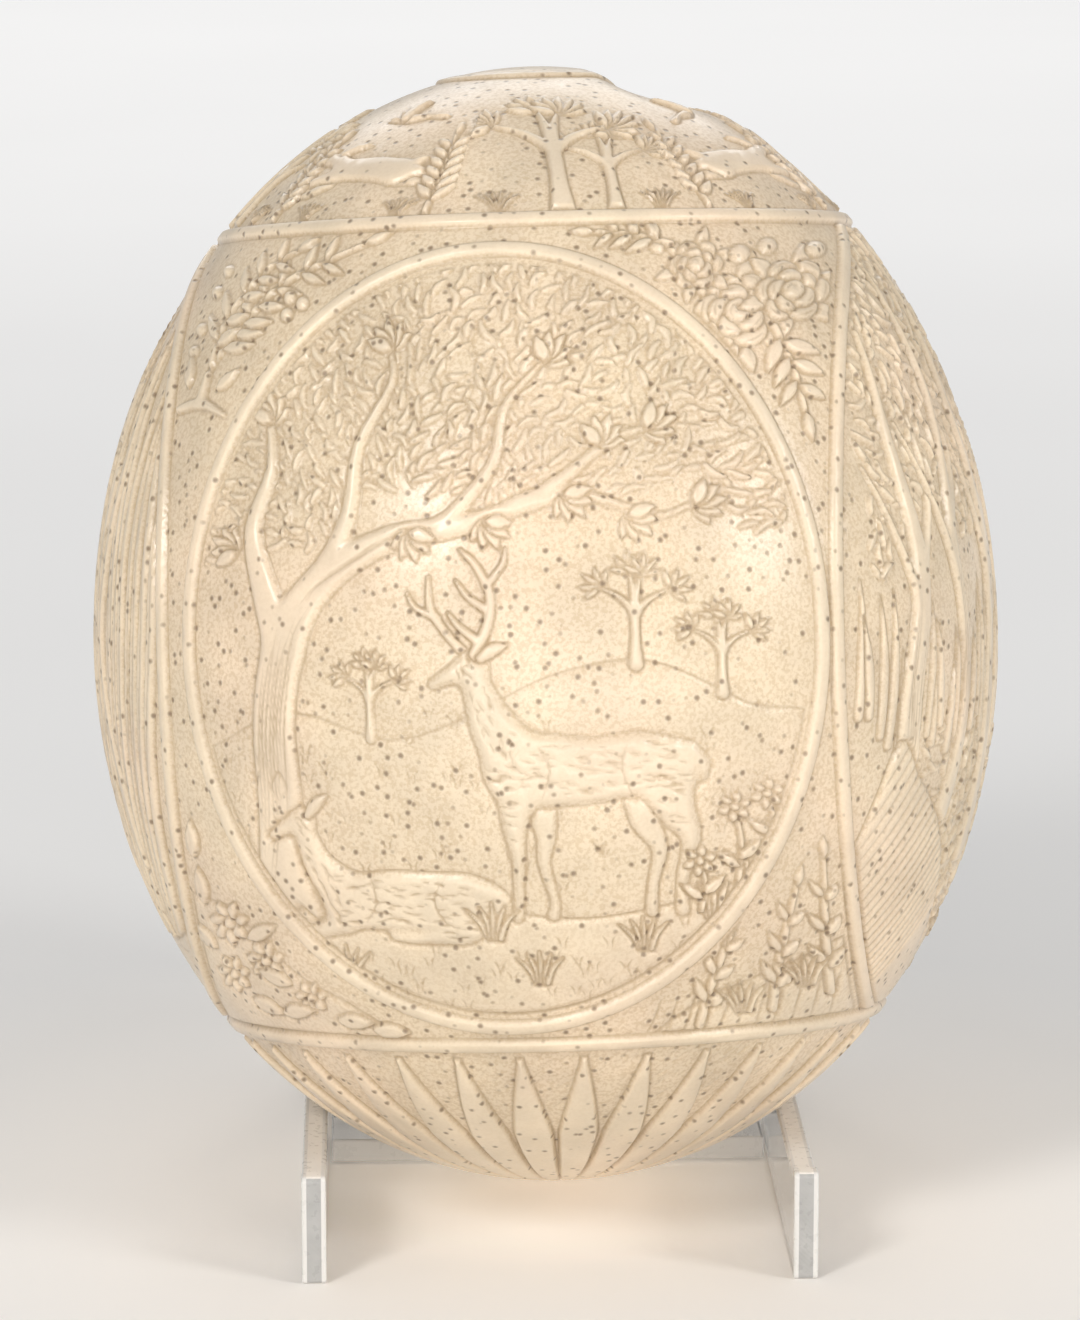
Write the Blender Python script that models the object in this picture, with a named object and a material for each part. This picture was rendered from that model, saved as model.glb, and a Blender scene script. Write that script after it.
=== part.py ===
"""A carved ostrich egg leaning on a small clear acrylic stand.

Metres, +Z up, the carved front towards -Y. The origin is on the ground under the middle.
The egg is one solid. Its carving stands proud of the ground shape by one relief height:
bands, a crown ring, two panels with an oval each, tree trunks beside the panels,
and a cup of pointed leaves below.
"""

from math import asin, ceil, cos, hypot, pi, radians, sin, sqrt, tan

import bmesh
import bpy
from mathutils import Euler, Matrix, Vector
from mathutils.geometry import delaunay_2d_cdt

# The egg's ground shape, below the carving
EGG_RADIUS = 0.0623
EGG_HALF_HEIGHT = 0.0768
EGG_BLUNTNESS = 0.022
RELIEF = 0.0007
EDGE_SLOPE = 0.0005

# How the egg lies on the stand
EGG_TILT = radians(10.0)
EGG_ROLL = radians(1.3)
EGG_TURN = radians(10.4)

# Ridges of the carving
RIDGE_HALF_WIDTH = 0.00065
CROWN_RING_RADIUS = 0.0122
CROWN_RING_HALF_WIDTH = 0.0007
CROWN_RING_LEVEL = 0.7
CROWN_LEVEL = 0.5
UPPER_BAND_HEIGHT = 0.0546
LOWER_BAND_HEIGHT = -0.0539
PANEL_HALF_WIDTH = 0.0449
PANEL_UPPER_NARROWING = 0.0025
PANEL_LOWER_NARROWING = 0.0005
NARROWING_POWER = 16
OVAL_ASIDE = 0.0014
OVAL_RISE = -0.0003
OVAL_HALF_WIDTH = 0.0418
OVAL_HALF_HEIGHT = 0.0510
PANEL_MIDDLES = (0.0, pi)

# Tree trunks in the pictures beside the front panel: azimuth, and half a width
TRUNK_AZIMUTHS = (radians(-81), radians(-66), radians(84), radians(100))
TRUNK_HALF_WIDTH = 0.0013
TRUNK_FOOT = -0.0300
TRUNK_TOP = 0.0330
TRUNK_SWAY = 0.0012

# Leaves of the lower cup
LEAF_COUNT = 32
LEAF_PHASE = radians(2.0)
LEAF_TIP_HEIGHT = -0.0565
LEAF_WIDEST_HEIGHT = -0.0672
LEAF_END_RADIUS = 0.0075
LEAF_FILL = 0.74
LEAF_STEPS = 6
FOOT_RING_RADIUS = 0.0050
FOOT_RING_HALF_WIDTH = 0.0007

# Worn hollow beside the crown
DENT_AZIMUTH = radians(98.6)
DENT_POLE_DISTANCE = 0.0150
DENT_INNER_REACH = 0.0085
DENT_OUTER_REACH = 0.0135
DENT_SIDE_REACH = 0.0190
DENT_DEPTH = 0.0027

# Facets of the egg
GRID_STEP = 0.0056
CHAIN_STEP = 0.0046
CLEAR_OF_CHAINS = 0.0019
POLE_RADIUS = 0.0024

# Stand
SHEET_THICKNESS = 0.0033
SIDE_PLATE_X = 0.0330
STAND_FRONT = -0.0460
ARM_TOP = 0.0135
LIP_TOP = 0.0149
LIP_DEPTH = 0.0034
UPRIGHT_WIDTH = 0.0135
UPRIGHT_TOP = 0.0920
CROSS_FRONT = 0.0065
CROSS_DEPTH = 0.0140
CROSS_LIFT = 0.0005
POLISHED_EDGE = 0.0003
TOUCH_GAP = 0.0003

# The middle of the whole object, front to back, from the egg's middle
MIDDLE_Y = 0.0038

SEAM_AZIMUTH = LEAF_PHASE - (8.5 * 2 * pi / LEAF_COUNT)


def clear_scene():
    """Empty the file of every object and mesh it starts with."""
    for item in list(bpy.data.objects):
        bpy.data.objects.remove(item, do_unlink=True)
    for mesh in list(bpy.data.meshes):
        bpy.data.meshes.remove(mesh)


# The egg's surface: azimuth runs round the axis from the front, slope angle runs from pole to pole


def ring_radius(angle):
    """Distance of the ground surface from the egg's axis."""
    return EGG_RADIUS * cos(angle) * (1 - EGG_BLUNTNESS * sin(angle))


def ring_height(angle):
    """Height of the ground surface along the egg's axis."""
    return EGG_HALF_HEIGHT * sin(angle)


def angle_at_height(height):
    """The slope angle of a ring at a height along the axis."""
    return asin(height / EGG_HALF_HEIGHT)


def angle_at_radius(radius):
    """The slope angle of an upper ring of a small radius."""
    return asin(sqrt(1 - (radius / EGG_RADIUS) ** 2))


def profile_slope(angle):
    """Change of radius and height with the slope angle."""
    step = 1e-4
    radius_change = (ring_radius(angle + step) - ring_radius(angle - step)) / (2 * step)
    return radius_change, EGG_HALF_HEIGHT * cos(angle)


def surface_point(azimuth, angle, lift):
    """A point of the egg, lifted along the surface's normal."""
    radius_change, height_change = profile_slope(angle)
    length = hypot(radius_change, height_change)
    radius = ring_radius(angle) + lift * height_change / length
    height = ring_height(angle) - lift * radius_change / length
    return Vector((radius * sin(azimuth), -radius * cos(azimuth), height))


def surface_gap(first, second):
    """Distance and direction on the surface between two nearby places."""
    angle = (first[1] + second[1]) / 2
    across = (second[0] - first[0]) * max(ring_radius(angle), POLE_RADIUS)
    along = (second[1] - first[1]) * hypot(*profile_slope(angle))
    return Vector((across, along))


def moved(place, shift):
    """A place moved over the surface by a small shift in metres."""
    radius = max(ring_radius(place[1]), POLE_RADIUS)
    return (place[0] + shift[0] / radius, place[1] + shift[1] / hypot(*profile_slope(place[1])))


# The carving, drawn as lines on that surface


def panel_edge(side, middle):
    """One upright ridge of a panel, from the lower band to the upper band."""
    places = []
    steps = 18
    for step in range(steps + 1):
        height = LOWER_BAND_HEIGHT + (UPPER_BAND_HEIGHT - LOWER_BAND_HEIGHT) * step / steps
        narrowing = PANEL_UPPER_NARROWING if height > 0 else PANEL_LOWER_NARROWING
        reach = PANEL_HALF_WIDTH - narrowing * (height / UPPER_BAND_HEIGHT) ** NARROWING_POWER
        angle = angle_at_height(height)
        places.append((middle + side * asin(reach / ring_radius(angle)), angle))
    return places


def oval(middle):
    """The ridge of a panel's oval, a true ellipse when the panel is seen from its front."""
    places = []
    steps = 52
    for step in range(steps + 1):
        turn = 2 * pi * step / steps
        angle = angle_at_height(OVAL_RISE + OVAL_HALF_HEIGHT * sin(turn))
        across = OVAL_ASIDE + OVAL_HALF_WIDTH * cos(turn)
        places.append((middle + asin(across / ring_radius(angle)), angle))
    return places


def trunk(azimuth):
    """The middle line of a tree trunk that sways a little on its way up."""
    places = []
    steps = 12
    for step in range(steps + 1):
        angle = angle_at_height(TRUNK_FOOT + (TRUNK_TOP - TRUNK_FOOT) * step / steps)
        sway = TRUNK_SWAY * sin(3 * pi * step / steps)
        places.append((azimuth + sway / ring_radius(angle), angle))
    return places


def outline_round(line, distance):
    """A closed outline at a distance all round an open line."""
    outline = []
    for run in (line, line[::-1]):
        outline += offset_chain(run, distance)
        along = surface_gap(run[-2], run[-1]).normalized()
        side = Vector((-along.y, along.x))
        for share in (0.25, 0.5, 0.75):
            arm = side * cos(pi * share) + along * sin(pi * share)
            outline.append(moved(run[-1], arm * distance))
    return outline + outline[:1]


def leaf(middle, grow):
    """One leaf's outline: pointed at the lower band, widest below it, narrow near the foot ring.

    Grown outlines stop half way to the next leaf, so two neighbours share the groove's floor.
    """
    tip = angle_at_height(LEAF_TIP_HEIGHT)
    widest = angle_at_height(LEAF_WIDEST_HEIGHT)
    end = -angle_at_radius(LEAF_END_RADIUS)
    half_pitch = pi / LEAF_COUNT
    side = []
    for step in range(1, LEAF_STEPS + 1):
        angle = tip + (end - tip) * step / LEAF_STEPS
        share = min(1.0, (tip - angle) / (tip - widest))
        offset = LEAF_FILL * half_pitch * sin(share * pi / 2) + grow / ring_radius(angle)
        side.append((min(offset, half_pitch), angle))
    left = [(middle - offset, angle) for offset, angle in side]
    right = [(middle + offset, angle) for offset, angle in reversed(side)]
    return [moved((middle, tip), (0, 2 * grow))] + left + right


def offset_chain(chain, distance):
    """The chain moved sideways over the surface, to its left for a positive distance."""
    closed = chain[0][1] == chain[-1][1] and surface_gap(chain[0], chain[-1]).length < 1e-9
    result = []
    last = len(chain) - 1
    for index, place in enumerate(chain):
        before = chain[index - 1] if index > 0 else (chain[last - 1] if closed else place)
        after = chain[index + 1] if index < last else (chain[1] if closed else place)
        along = surface_gap(before, after).normalized()
        result.append(moved(place, (-along.y * distance, along.x * distance)))
    return result


def chain_distance(place, chain):
    """Distance on the surface from a place to a chain."""
    best = 1.0
    for start, end in zip(chain, chain[1:]):
        to_start = surface_gap(place, start)
        if to_start.length > 0.03:
            continue
        run = surface_gap(start, end)
        share = max(0.0, min(1.0, -to_start.dot(run) / max(run.dot(run), 1e-12)))
        best = min(best, (to_start + run * share).length)
    return best


def inside_leaf(place, outline):
    """Whether a place lies within a leaf's outline."""
    inside = False
    for start, end in zip(outline, outline[1:] + outline[:1]):
        if (start[1] > place[1]) != (end[1] > place[1]):
            share = (place[1] - start[1]) / (end[1] - start[1])
            if place[0] < start[0] + share * (end[0] - start[0]):
                inside = not inside
    return inside


def ramp(distance_inside):
    """Height share for a distance inside a raised shape's foot."""
    return max(0.0, min(1.0, distance_inside / EDGE_SLOPE))


def level_ridges():
    """Middle angle, half width and level of each ridge that runs level round the egg."""
    return [
        (angle_at_height(LOWER_BAND_HEIGHT), RIDGE_HALF_WIDTH, 1.0),
        (angle_at_height(UPPER_BAND_HEIGHT), RIDGE_HALF_WIDTH, 1.0),
        (angle_at_radius(CROWN_RING_RADIUS), CROWN_RING_HALF_WIDTH, CROWN_RING_LEVEL),
        (-angle_at_radius(FOOT_RING_RADIUS), FOOT_RING_HALF_WIDTH, CROWN_RING_LEVEL),
    ]


class Carving:
    """Every raised line and leaf of the egg, and the height they give to a place."""

    def __init__(self):
        self.chains = []
        for middle in PANEL_MIDDLES:
            self.chains += [panel_edge(-1, middle), panel_edge(1, middle), oval(middle)]
        self.trunks = [trunk(azimuth) for azimuth in TRUNK_AZIMUTHS]
        self.leaves = []
        for index in range(LEAF_COUNT):
            middle = LEAF_PHASE + 2 * pi * (index - 8) / LEAF_COUNT
            self.leaves.append((leaf(middle, 0), leaf(middle, EDGE_SLOPE)))

    def height(self, place):
        """Share of the relief height at a place, from nothing to full."""
        in_crown = place[1] > angle_at_radius(CROWN_RING_RADIUS)
        in_foot_ring = place[1] < -angle_at_radius(FOOT_RING_RADIUS)
        share = CROWN_LEVEL if in_crown or in_foot_ring else 0.0
        for angle, half, level in level_ridges():
            away = abs(surface_gap(place, (place[0], angle)).y)
            share = max(share, level * ramp(half + EDGE_SLOPE - away))
        if share < 1.0 and abs(ring_height(place[1])) < UPPER_BAND_HEIGHT + 0.002:
            for chain in self.chains:
                away = chain_distance(place, chain)
                share = max(share, ramp(RIDGE_HALF_WIDTH + EDGE_SLOPE - away))
            for line in self.trunks:
                away = chain_distance(place, line)
                share = max(share, ramp(TRUNK_HALF_WIDTH + EDGE_SLOPE - away))
        if ring_height(place[1]) < LOWER_BAND_HEIGHT:
            for outline, _ in self.leaves:
                if abs(place[0] - outline[0][0]) < 2 * pi / LEAF_COUNT:
                    away = chain_distance(place, outline + outline[:1])
                    inwards = away if inside_leaf(place, outline) else -away
                    share = max(share, ramp(EDGE_SLOPE + inwards))
        return share


def dent_depth(azimuth, angle):
    """Depth of the worn hollow beside the crown."""
    if angle < 0:
        return 0.0
    turn = azimuth - DENT_AZIMUTH
    outwards = ring_radius(angle) * cos(turn) - DENT_POLE_DISTANCE
    aside = ring_radius(angle) * sin(turn)
    reach = DENT_INNER_REACH if outwards < 0 else DENT_OUTER_REACH
    share = min(1.0, hypot(outwards / reach, aside / DENT_SIDE_REACH))
    return DENT_DEPTH * (0.5 + 0.5 * cos(pi * share))


# The egg's facets: corners on the carving's lines, and a loose grid between them


class Sheet:
    """The unrolled surface, holding corners and the edges that facets have to keep."""

    def __init__(self):
        self.places = []
        self.edges = []

    def add_chain(self, chain):
        """Add a line whose edges are kept."""
        first = len(self.places)
        self.places += chain
        self.edges += [(first + i, first + i + 1) for i in range(len(chain) - 1)]

    def facets(self):
        """Corners and triangles of the whole sheet."""
        scaled = [Vector((x * EGG_RADIUS, y * EGG_HALF_HEIGHT)) for x, y in self.places]
        corners, _, faces, *_ = delaunay_2d_cdt(scaled, self.edges, [], 0, 1e-7)
        places = [(corner.x / EGG_RADIUS, corner.y / EGG_HALF_HEIGHT) for corner in corners]
        return places, faces


def level_chain(angle):
    """A line round the egg at one angle, from seam to seam."""
    count = max(18, ceil(2 * pi * ring_radius(angle) / CHAIN_STEP))
    return [(SEAM_AZIMUTH + 2 * pi * step / count, angle) for step in range(count + 1)]


def draw_carving(sheet, carving, low, high):
    """Lay the carving's lines on the sheet, a foot line and a top line for each side."""
    level_angles = [low, high]
    for angle, half, _ in level_ridges():
        for distance in (-half - EDGE_SLOPE, -half, half, half + EDGE_SLOPE):
            level_angles.append(moved((0.0, angle), (0.0, distance))[1])
    for angle in level_angles:
        sheet.add_chain(level_chain(angle))
    for chain in carving.chains:
        for distance in (RIDGE_HALF_WIDTH, RIDGE_HALF_WIDTH + EDGE_SLOPE):
            sheet.add_chain(offset_chain(chain, distance))
            sheet.add_chain(offset_chain(chain, -distance))
    for line in carving.trunks:
        sheet.add_chain(outline_round(line, TRUNK_HALF_WIDTH))
        sheet.add_chain(outline_round(line, TRUNK_HALF_WIDTH + EDGE_SLOPE))
    for outlines in carving.leaves:
        for outline in outlines:
            sheet.add_chain(outline + outline[:1])
    return level_angles


def fill_grid(sheet, low, high, level_angles):
    """Add loose corners between the lines, and the same corners along both sides of the seam."""
    rows = []
    angle = low
    while angle < high:
        rows.append(angle)
        angle += GRID_STEP / hypot(*profile_slope(angle))
    seam_rows = list(level_angles)
    for row in rows:
        if all(abs(row - level) * EGG_HALF_HEIGHT > CLEAR_OF_CHAINS for level in level_angles):
            seam_rows.append(row)
    seam_rows.sort()
    sheet.add_chain([(SEAM_AZIMUTH, row) for row in seam_rows])
    sheet.add_chain([(SEAM_AZIMUTH + 2 * pi, row) for row in seam_rows])
    lines = [Vector((x * EGG_RADIUS, y * EGG_HALF_HEIGHT)) for x, y in sheet.places]
    edges = [(lines[a], lines[b]) for a, b in sheet.edges]
    for number, row in enumerate(rows[1:]):
        count = max(8, round(2 * pi * ring_radius(row) / GRID_STEP))
        for step in range(count):
            azimuth = SEAM_AZIMUTH + 2 * pi * (step + 0.25 + 0.5 * (number % 2)) / count
            spot = Vector((azimuth * EGG_RADIUS, row * EGG_HALF_HEIGHT))
            if clear_of(spot, edges):
                sheet.places.append((azimuth, row))


def clear_of(spot, edges):
    """Whether a spot of the flat sheet keeps away from every kept edge."""
    for start, end in edges:
        if abs(start.x - spot.x) > 0.02 or abs(start.y - spot.y) > 0.02:
            continue
        run = end - start
        share = max(0.0, min(1.0, (spot - start).dot(run) / max(run.dot(run), 1e-12)))
        if (start + run * share - spot).length < CLEAR_OF_CHAINS:
            return False
    return True


def build_egg():
    """The egg as one closed solid, upright about its own axis."""
    carving = Carving()
    sheet = Sheet()
    high = angle_at_radius(POLE_RADIUS)
    low = -high
    level_angles = draw_carving(sheet, carving, low, high)
    fill_grid(sheet, low, high, level_angles)
    places, faces = sheet.facets()

    form = bmesh.new()
    seam_corners = {}
    corners = []
    for azimuth, angle in places:
        on_seam = min(abs(azimuth - SEAM_AZIMUTH), abs(azimuth - SEAM_AZIMUTH - 2 * pi)) < 1e-5
        key = round(angle * 1e5) if on_seam else None
        if key in seam_corners:
            corners.append(seam_corners[key])
            continue
        lift = RELIEF * carving.height((azimuth, angle)) - dent_depth(azimuth, angle)
        corner = form.verts.new(surface_point(azimuth, angle, lift))
        corners.append(corner)
        if on_seam:
            seam_corners[key] = corner
    for face in faces:
        form.faces.new([corners[index] for index in face])
    for side in (1, -1):
        pole = form.verts.new((0, 0, side * (EGG_HALF_HEIGHT + RELIEF * CROWN_LEVEL)))
        rim = {corners[i] for i, place in enumerate(places) if abs(place[1] - side * high) < 1e-5}
        for edge in [e for e in form.edges if e.is_boundary and set(e.verts) <= rim]:
            form.faces.new((edge.verts[0], edge.verts[1], pole))
    bmesh.ops.recalc_face_normals(form, faces=form.faces)

    egg = new_object("egg", form)
    for polygon in egg.data.polygons:
        polygon.use_smooth = True
    egg.data.set_sharp_from_angle(angle=radians(28))
    egg.data.materials.append(surface("carved_shell", (0.84, 0.73, 0.58), 0.45))
    return egg


# The stand: flat sheet cut to outlines seen from the side


def rounded_outline(corners, arc_step=radians(15)):
    """Round each corner (y, z, radius) of a closed outline with an arc."""
    outline = []
    for index, (y, z, radius) in enumerate(corners):
        here = Vector((y, z))
        before = (Vector(corners[index - 1][:2]) - here).normalized()
        after = (Vector(corners[(index + 1) % len(corners)][:2]) - here).normalized()
        bend = before.angle(after)
        reach = radius / tan(bend / 2)
        middle = here + (before + after).normalized() * (radius / sin(bend / 2))
        start = here + before * reach - middle
        end = here + after * reach - middle
        turn = start.angle_signed(end)
        steps = max(2, ceil(abs(turn) / arc_step))
        for step in range(steps + 1):
            angle = turn * step / steps
            arm = Vector((start.x * cos(angle) + start.y * sin(angle),
                          start.y * cos(angle) - start.x * sin(angle)))
            outline.append(middle + arm)
    return outline


def egg_reach(direction, x):
    """How far the carved egg reaches from its middle towards a direction in Y and Z, at one x."""
    turn = Euler((-EGG_TILT, -EGG_ROLL, 0), "ZYX").to_matrix()
    wide, tall = EGG_RADIUS + RELIEF, EGG_HALF_HEIGHT + RELIEF
    form = turn @ Matrix.Diagonal((wide ** 2, wide ** 2, tall ** 2)) @ turn.transposed()
    side = Vector((1, 0, 0))
    across = side.dot(form @ side)
    shear = side.dot(form @ direction)
    spread = (1 - x * x / across) * (direction.dot(form @ direction) - shear ** 2 / across)
    return shear / across * x + sqrt(spread)


def egg_middle():
    """Where the egg's middle is when it rests evenly on both arms."""
    down = Vector((0, 0, -1))
    inner_face = SIDE_PLATE_X - SHEET_THICKNESS / 2
    left, right = -inner_face / 10, inner_face / 10
    for _ in range(40):
        x = (left + right) / 2
        if egg_reach(down, inner_face - x) > egg_reach(down, -inner_face - x):
            right = x
        else:
            left = x
    return Vector((x, 0, ARM_TOP + TOUCH_GAP + egg_reach(down, inner_face - x)))


def side_plate_outline():
    """The side plate seen from +X: foot, front lip, arm, and an upright leaning with the egg."""
    lean = Vector((sin(EGG_TILT), cos(EGG_TILT)))
    backwards = Vector((cos(EGG_TILT), -sin(EGG_TILT)))
    middle = egg_middle()
    inner_face = SIDE_PLATE_X - SHEET_THICKNESS / 2
    reach = max(egg_reach(Vector((0, *backwards)), side - middle.x) for side in (-inner_face, inner_face))
    touch = middle.yz + backwards * (reach + TOUCH_GAP)

    def on_face(distance_back, height):
        start = touch + backwards * distance_back
        return start + lean * (height - start.y) / lean.y

    tip = on_face(0, UPRIGHT_TOP)
    tip_back = tip + backwards * UPRIGHT_WIDTH
    foot_back = on_face(UPRIGHT_WIDTH, 0)
    crook = on_face(0, ARM_TOP)
    lip_back = STAND_FRONT + LIP_DEPTH
    return rounded_outline([
        (STAND_FRONT, 0, 0.0006),
        (foot_back.x, 0, 0.0030),
        (tip_back.x, tip_back.y, 0.0060),
        (tip.x, tip.y, 0.0045),
        (crook.x, crook.y, 0.0090),
        (lip_back, ARM_TOP, 0.0006),
        (lip_back, LIP_TOP, 0.0006),
        (STAND_FRONT, LIP_TOP, 0.0008),
    ])


def sheet_piece(name, outline, x_middle, thickness):
    """A flat piece of clear sheet: an outline in Y and Z, extruded along X, with polished edges."""
    form = bmesh.new()
    ring = [form.verts.new((x_middle - thickness / 2, y, z)) for y, z in outline]
    face = form.faces.new(ring)
    swept = bmesh.ops.extrude_face_region(form, geom=[face])
    far_side = [item for item in swept["geom"] if isinstance(item, bmesh.types.BMVert)]
    bmesh.ops.translate(form, verts=far_side, vec=(thickness, 0, 0))
    bmesh.ops.recalc_face_normals(form, faces=form.faces)
    piece = new_object(name, form)
    piece.location = (0, -MIDDLE_Y, 0)
    bevel = piece.modifiers.new("polished_edge", "BEVEL")
    bevel.width = POLISHED_EDGE
    bevel.segments = 2
    bevel.limit_method = "ANGLE"
    bevel.angle_limit = radians(50)
    piece.data.materials.append(surface("clear_acrylic", (0.93, 0.95, 0.96), 0.05, 0.25))
    return piece


def build_stand():
    """Two side plates, and the cross plate that joins them near the ground behind the egg's foot."""
    outline = side_plate_outline()
    sheet_piece("stand_left_side", outline, -SIDE_PLATE_X, SHEET_THICKNESS)
    sheet_piece("stand_right_side", outline, SIDE_PLATE_X, SHEET_THICKNESS)
    back = CROSS_FRONT + CROSS_DEPTH
    top = CROSS_LIFT + SHEET_THICKNESS
    cross_outline = [(CROSS_FRONT, CROSS_LIFT), (back, CROSS_LIFT), (back, top), (CROSS_FRONT, top)]
    span = 2 * (SIDE_PLATE_X - SHEET_THICKNESS / 2 - TOUCH_GAP)
    sheet_piece("stand_cross_plate", cross_outline, 0, span)


def surface(name, colour, roughness, see_through=1.0):
    """A plain material of one colour; see_through below 1 lets the view pass."""
    material = bpy.data.materials.get(name) or bpy.data.materials.new(name)
    material.use_nodes = True
    shader = material.node_tree.nodes["Principled BSDF"]
    shader.inputs["Base Color"].default_value = (*colour, 1)
    shader.inputs["Roughness"].default_value = roughness
    shader.inputs["Metallic"].default_value = 0
    shader.inputs["Alpha"].default_value = see_through
    return material


def new_object(name, form):
    """Link a finished form to the scene under a name."""
    mesh = bpy.data.meshes.new(name)
    form.to_mesh(mesh)
    form.free()
    item = bpy.data.objects.new(name, mesh)
    bpy.context.scene.collection.objects.link(item)
    return item


def main():
    """Build the egg, lay it on the stand, and build the stand."""
    clear_scene()
    egg = build_egg()
    egg.rotation_mode = "ZYX"
    egg.rotation_euler = (-EGG_TILT, -EGG_ROLL, -EGG_TURN)
    egg.location = egg_middle() - Vector((0, MIDDLE_Y, 0))
    build_stand()


main()
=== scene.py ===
"""The looks of a carved ostrich egg on its clear stand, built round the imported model."""

import random
from math import atan2, cos, pi, radians, sin

import bpy
import numpy as np
from mathutils import Euler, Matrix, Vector


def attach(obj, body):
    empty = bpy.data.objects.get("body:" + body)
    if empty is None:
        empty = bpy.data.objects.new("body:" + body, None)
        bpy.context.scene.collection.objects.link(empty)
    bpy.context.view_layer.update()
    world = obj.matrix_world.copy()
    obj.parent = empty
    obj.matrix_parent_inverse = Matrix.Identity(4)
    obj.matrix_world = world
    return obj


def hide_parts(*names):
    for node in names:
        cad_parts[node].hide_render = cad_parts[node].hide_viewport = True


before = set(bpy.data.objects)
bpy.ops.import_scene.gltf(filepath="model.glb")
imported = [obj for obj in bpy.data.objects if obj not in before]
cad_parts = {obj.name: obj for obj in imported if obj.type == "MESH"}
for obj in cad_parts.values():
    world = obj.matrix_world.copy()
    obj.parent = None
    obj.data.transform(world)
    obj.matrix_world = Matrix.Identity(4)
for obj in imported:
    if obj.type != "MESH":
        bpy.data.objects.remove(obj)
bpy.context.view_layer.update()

# The egg's ground shape and its place, in millimetres and radians, as in the part's source
EGG_RADIUS = 62.3
EGG_HALF_HEIGHT = 76.8
EGG_BLUNTNESS = 0.022
EGG_TURNS = Euler((radians(-10.0), radians(-1.3), radians(-10.4)), "ZYX")
EGG_MIDDLE = Vector((-0.000512, -0.0038, 0.0806747))
MM = 0.001

# Levels of the carving
TOP = 0.70
SIDE_TOP = 0.64
CROWN_LEVEL = 0.35
CROWN_RING_LEVEL = 0.49
EDGE_SLOPE = 0.5
# Strength of the cut mark round foliage strokes, which sets how much painted shade they get
FOLIAGE_MARK = 0.72

# Ridges
RIDGE_HALF_WIDTH = 0.65
RIDGE_FOOT = RIDGE_HALF_WIDTH + EDGE_SLOPE
RIDGE_SLOPE = 0.6
CROWN_RING_RADIUS = 12.2
FOOT_RING_RADIUS = 5.0
OVAL_SCALE = 44.0
SMALL_RING_HALF_WIDTH = 0.7
UPPER_BAND_HEIGHT = 54.6
LOWER_BAND_HEIGHT = -53.9
PANEL_HALF_WIDTH = 44.9
PANEL_UPPER_NARROWING = 2.5
PANEL_LOWER_NARROWING = 0.5
NARROWING_POWER = 16
OVAL_ASIDE = 1.4
OVAL_RISE = -0.3
OVAL_HALF_WIDTH = 41.8
OVAL_HALF_HEIGHT = 51.0

# Pictures round the cap
CAP_PHASE = radians(16)

# Leaves of the lower cup
LEAF_COUNT = 32
LEAF_PHASE = radians(2.0)
LEAF_TIP_HEIGHT = -56.5
LEAF_WIDEST_HEIGHT = -67.2
LEAF_END_RADIUS = 7.5
LEAF_FILL = 0.74

# Worn hollow beside the crown
DENT_AZIMUTH = radians(98.6)
DENT_POLE_DISTANCE = 15.0
DENT_INNER_REACH = 8.5
DENT_OUTER_REACH = 13.5
DENT_SIDE_REACH = 19.0
DENT_DEPTH = 2.7

# Fineness of the carved surface
ROW_STEP = 0.26
FRONT_STEP = 0.27
BACK_STEP = 0.36
FRONT_HALF_TURN = radians(76)
POLE_RADIUS = 0.5
SHELL_TRIANGLES = 388000


# The unrolled surface: rows run from the lower pole to the upper one, columns run round the axis


def profile(angle):
    """Radius, height and their changes for a slope angle, or for an array of them."""
    radius = EGG_RADIUS * np.cos(angle) * (1 - EGG_BLUNTNESS * np.sin(angle))
    change = EGG_RADIUS * (-np.sin(angle) - EGG_BLUNTNESS * np.cos(2 * angle))
    return radius, EGG_HALF_HEIGHT * np.sin(angle), change, EGG_HALF_HEIGHT * np.cos(angle)


def level_rows():
    """Slope angles of rows that lie one step apart on the surface, and their arcs from the equator."""
    fine = np.linspace(-pi / 2, pi / 2, 20001)
    _, _, radius_change, height_change = profile(fine)
    speed = np.hypot(radius_change, height_change)
    arc = np.concatenate([[0], np.cumsum((speed[1:] + speed[:-1]) / 2 * np.diff(fine))])
    arc -= np.interp(0, fine, arc)
    low, high = arc[0] + POLE_RADIUS, arc[-1] - POLE_RADIUS
    arcs = np.linspace(low, high, round((high - low) / ROW_STEP) + 1)
    return np.interp(arcs, arc, fine), arcs


def round_columns():
    """Azimuths of the columns, close together round the front and wider behind."""
    front = round(2 * FRONT_HALF_TURN * EGG_RADIUS / FRONT_STEP)
    back = round((2 * pi - 2 * FRONT_HALF_TURN) * EGG_RADIUS / BACK_STEP)
    first = np.linspace(-FRONT_HALF_TURN, FRONT_HALF_TURN, front, endpoint=False)
    rest = np.linspace(FRONT_HALF_TURN, 2 * pi - FRONT_HALF_TURN, back, endpoint=False)
    return np.concatenate([first, rest])


ANGLES, ARCS = level_rows()
RADII, HEIGHTS, RADIUS_CHANGES, HEIGHT_CHANGES = profile(ANGLES)
SPEEDS = np.hypot(RADIUS_CHANGES, HEIGHT_CHANGES)
AZIMUTHS = round_columns()


def half_turned(azimuth):
    """An azimuth brought between half a turn back and half a turn on."""
    return (azimuth + pi) % (2 * pi) - pi


def arc_at_height(height):
    """Distance along the surface from the equator to a height."""
    return float(np.interp(height, HEIGHTS, ARCS))


def arc_at_radius(radius):
    """Distance along the surface from the equator to an upper ring of a small radius."""
    upper = ANGLES > 0.2
    return float(np.interp(-radius, -RADII[upper], ARCS[upper]))


UPPER_BAND_ARC = arc_at_height(UPPER_BAND_HEIGHT)
LOWER_BAND_ARC = arc_at_height(LOWER_BAND_HEIGHT)


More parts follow.
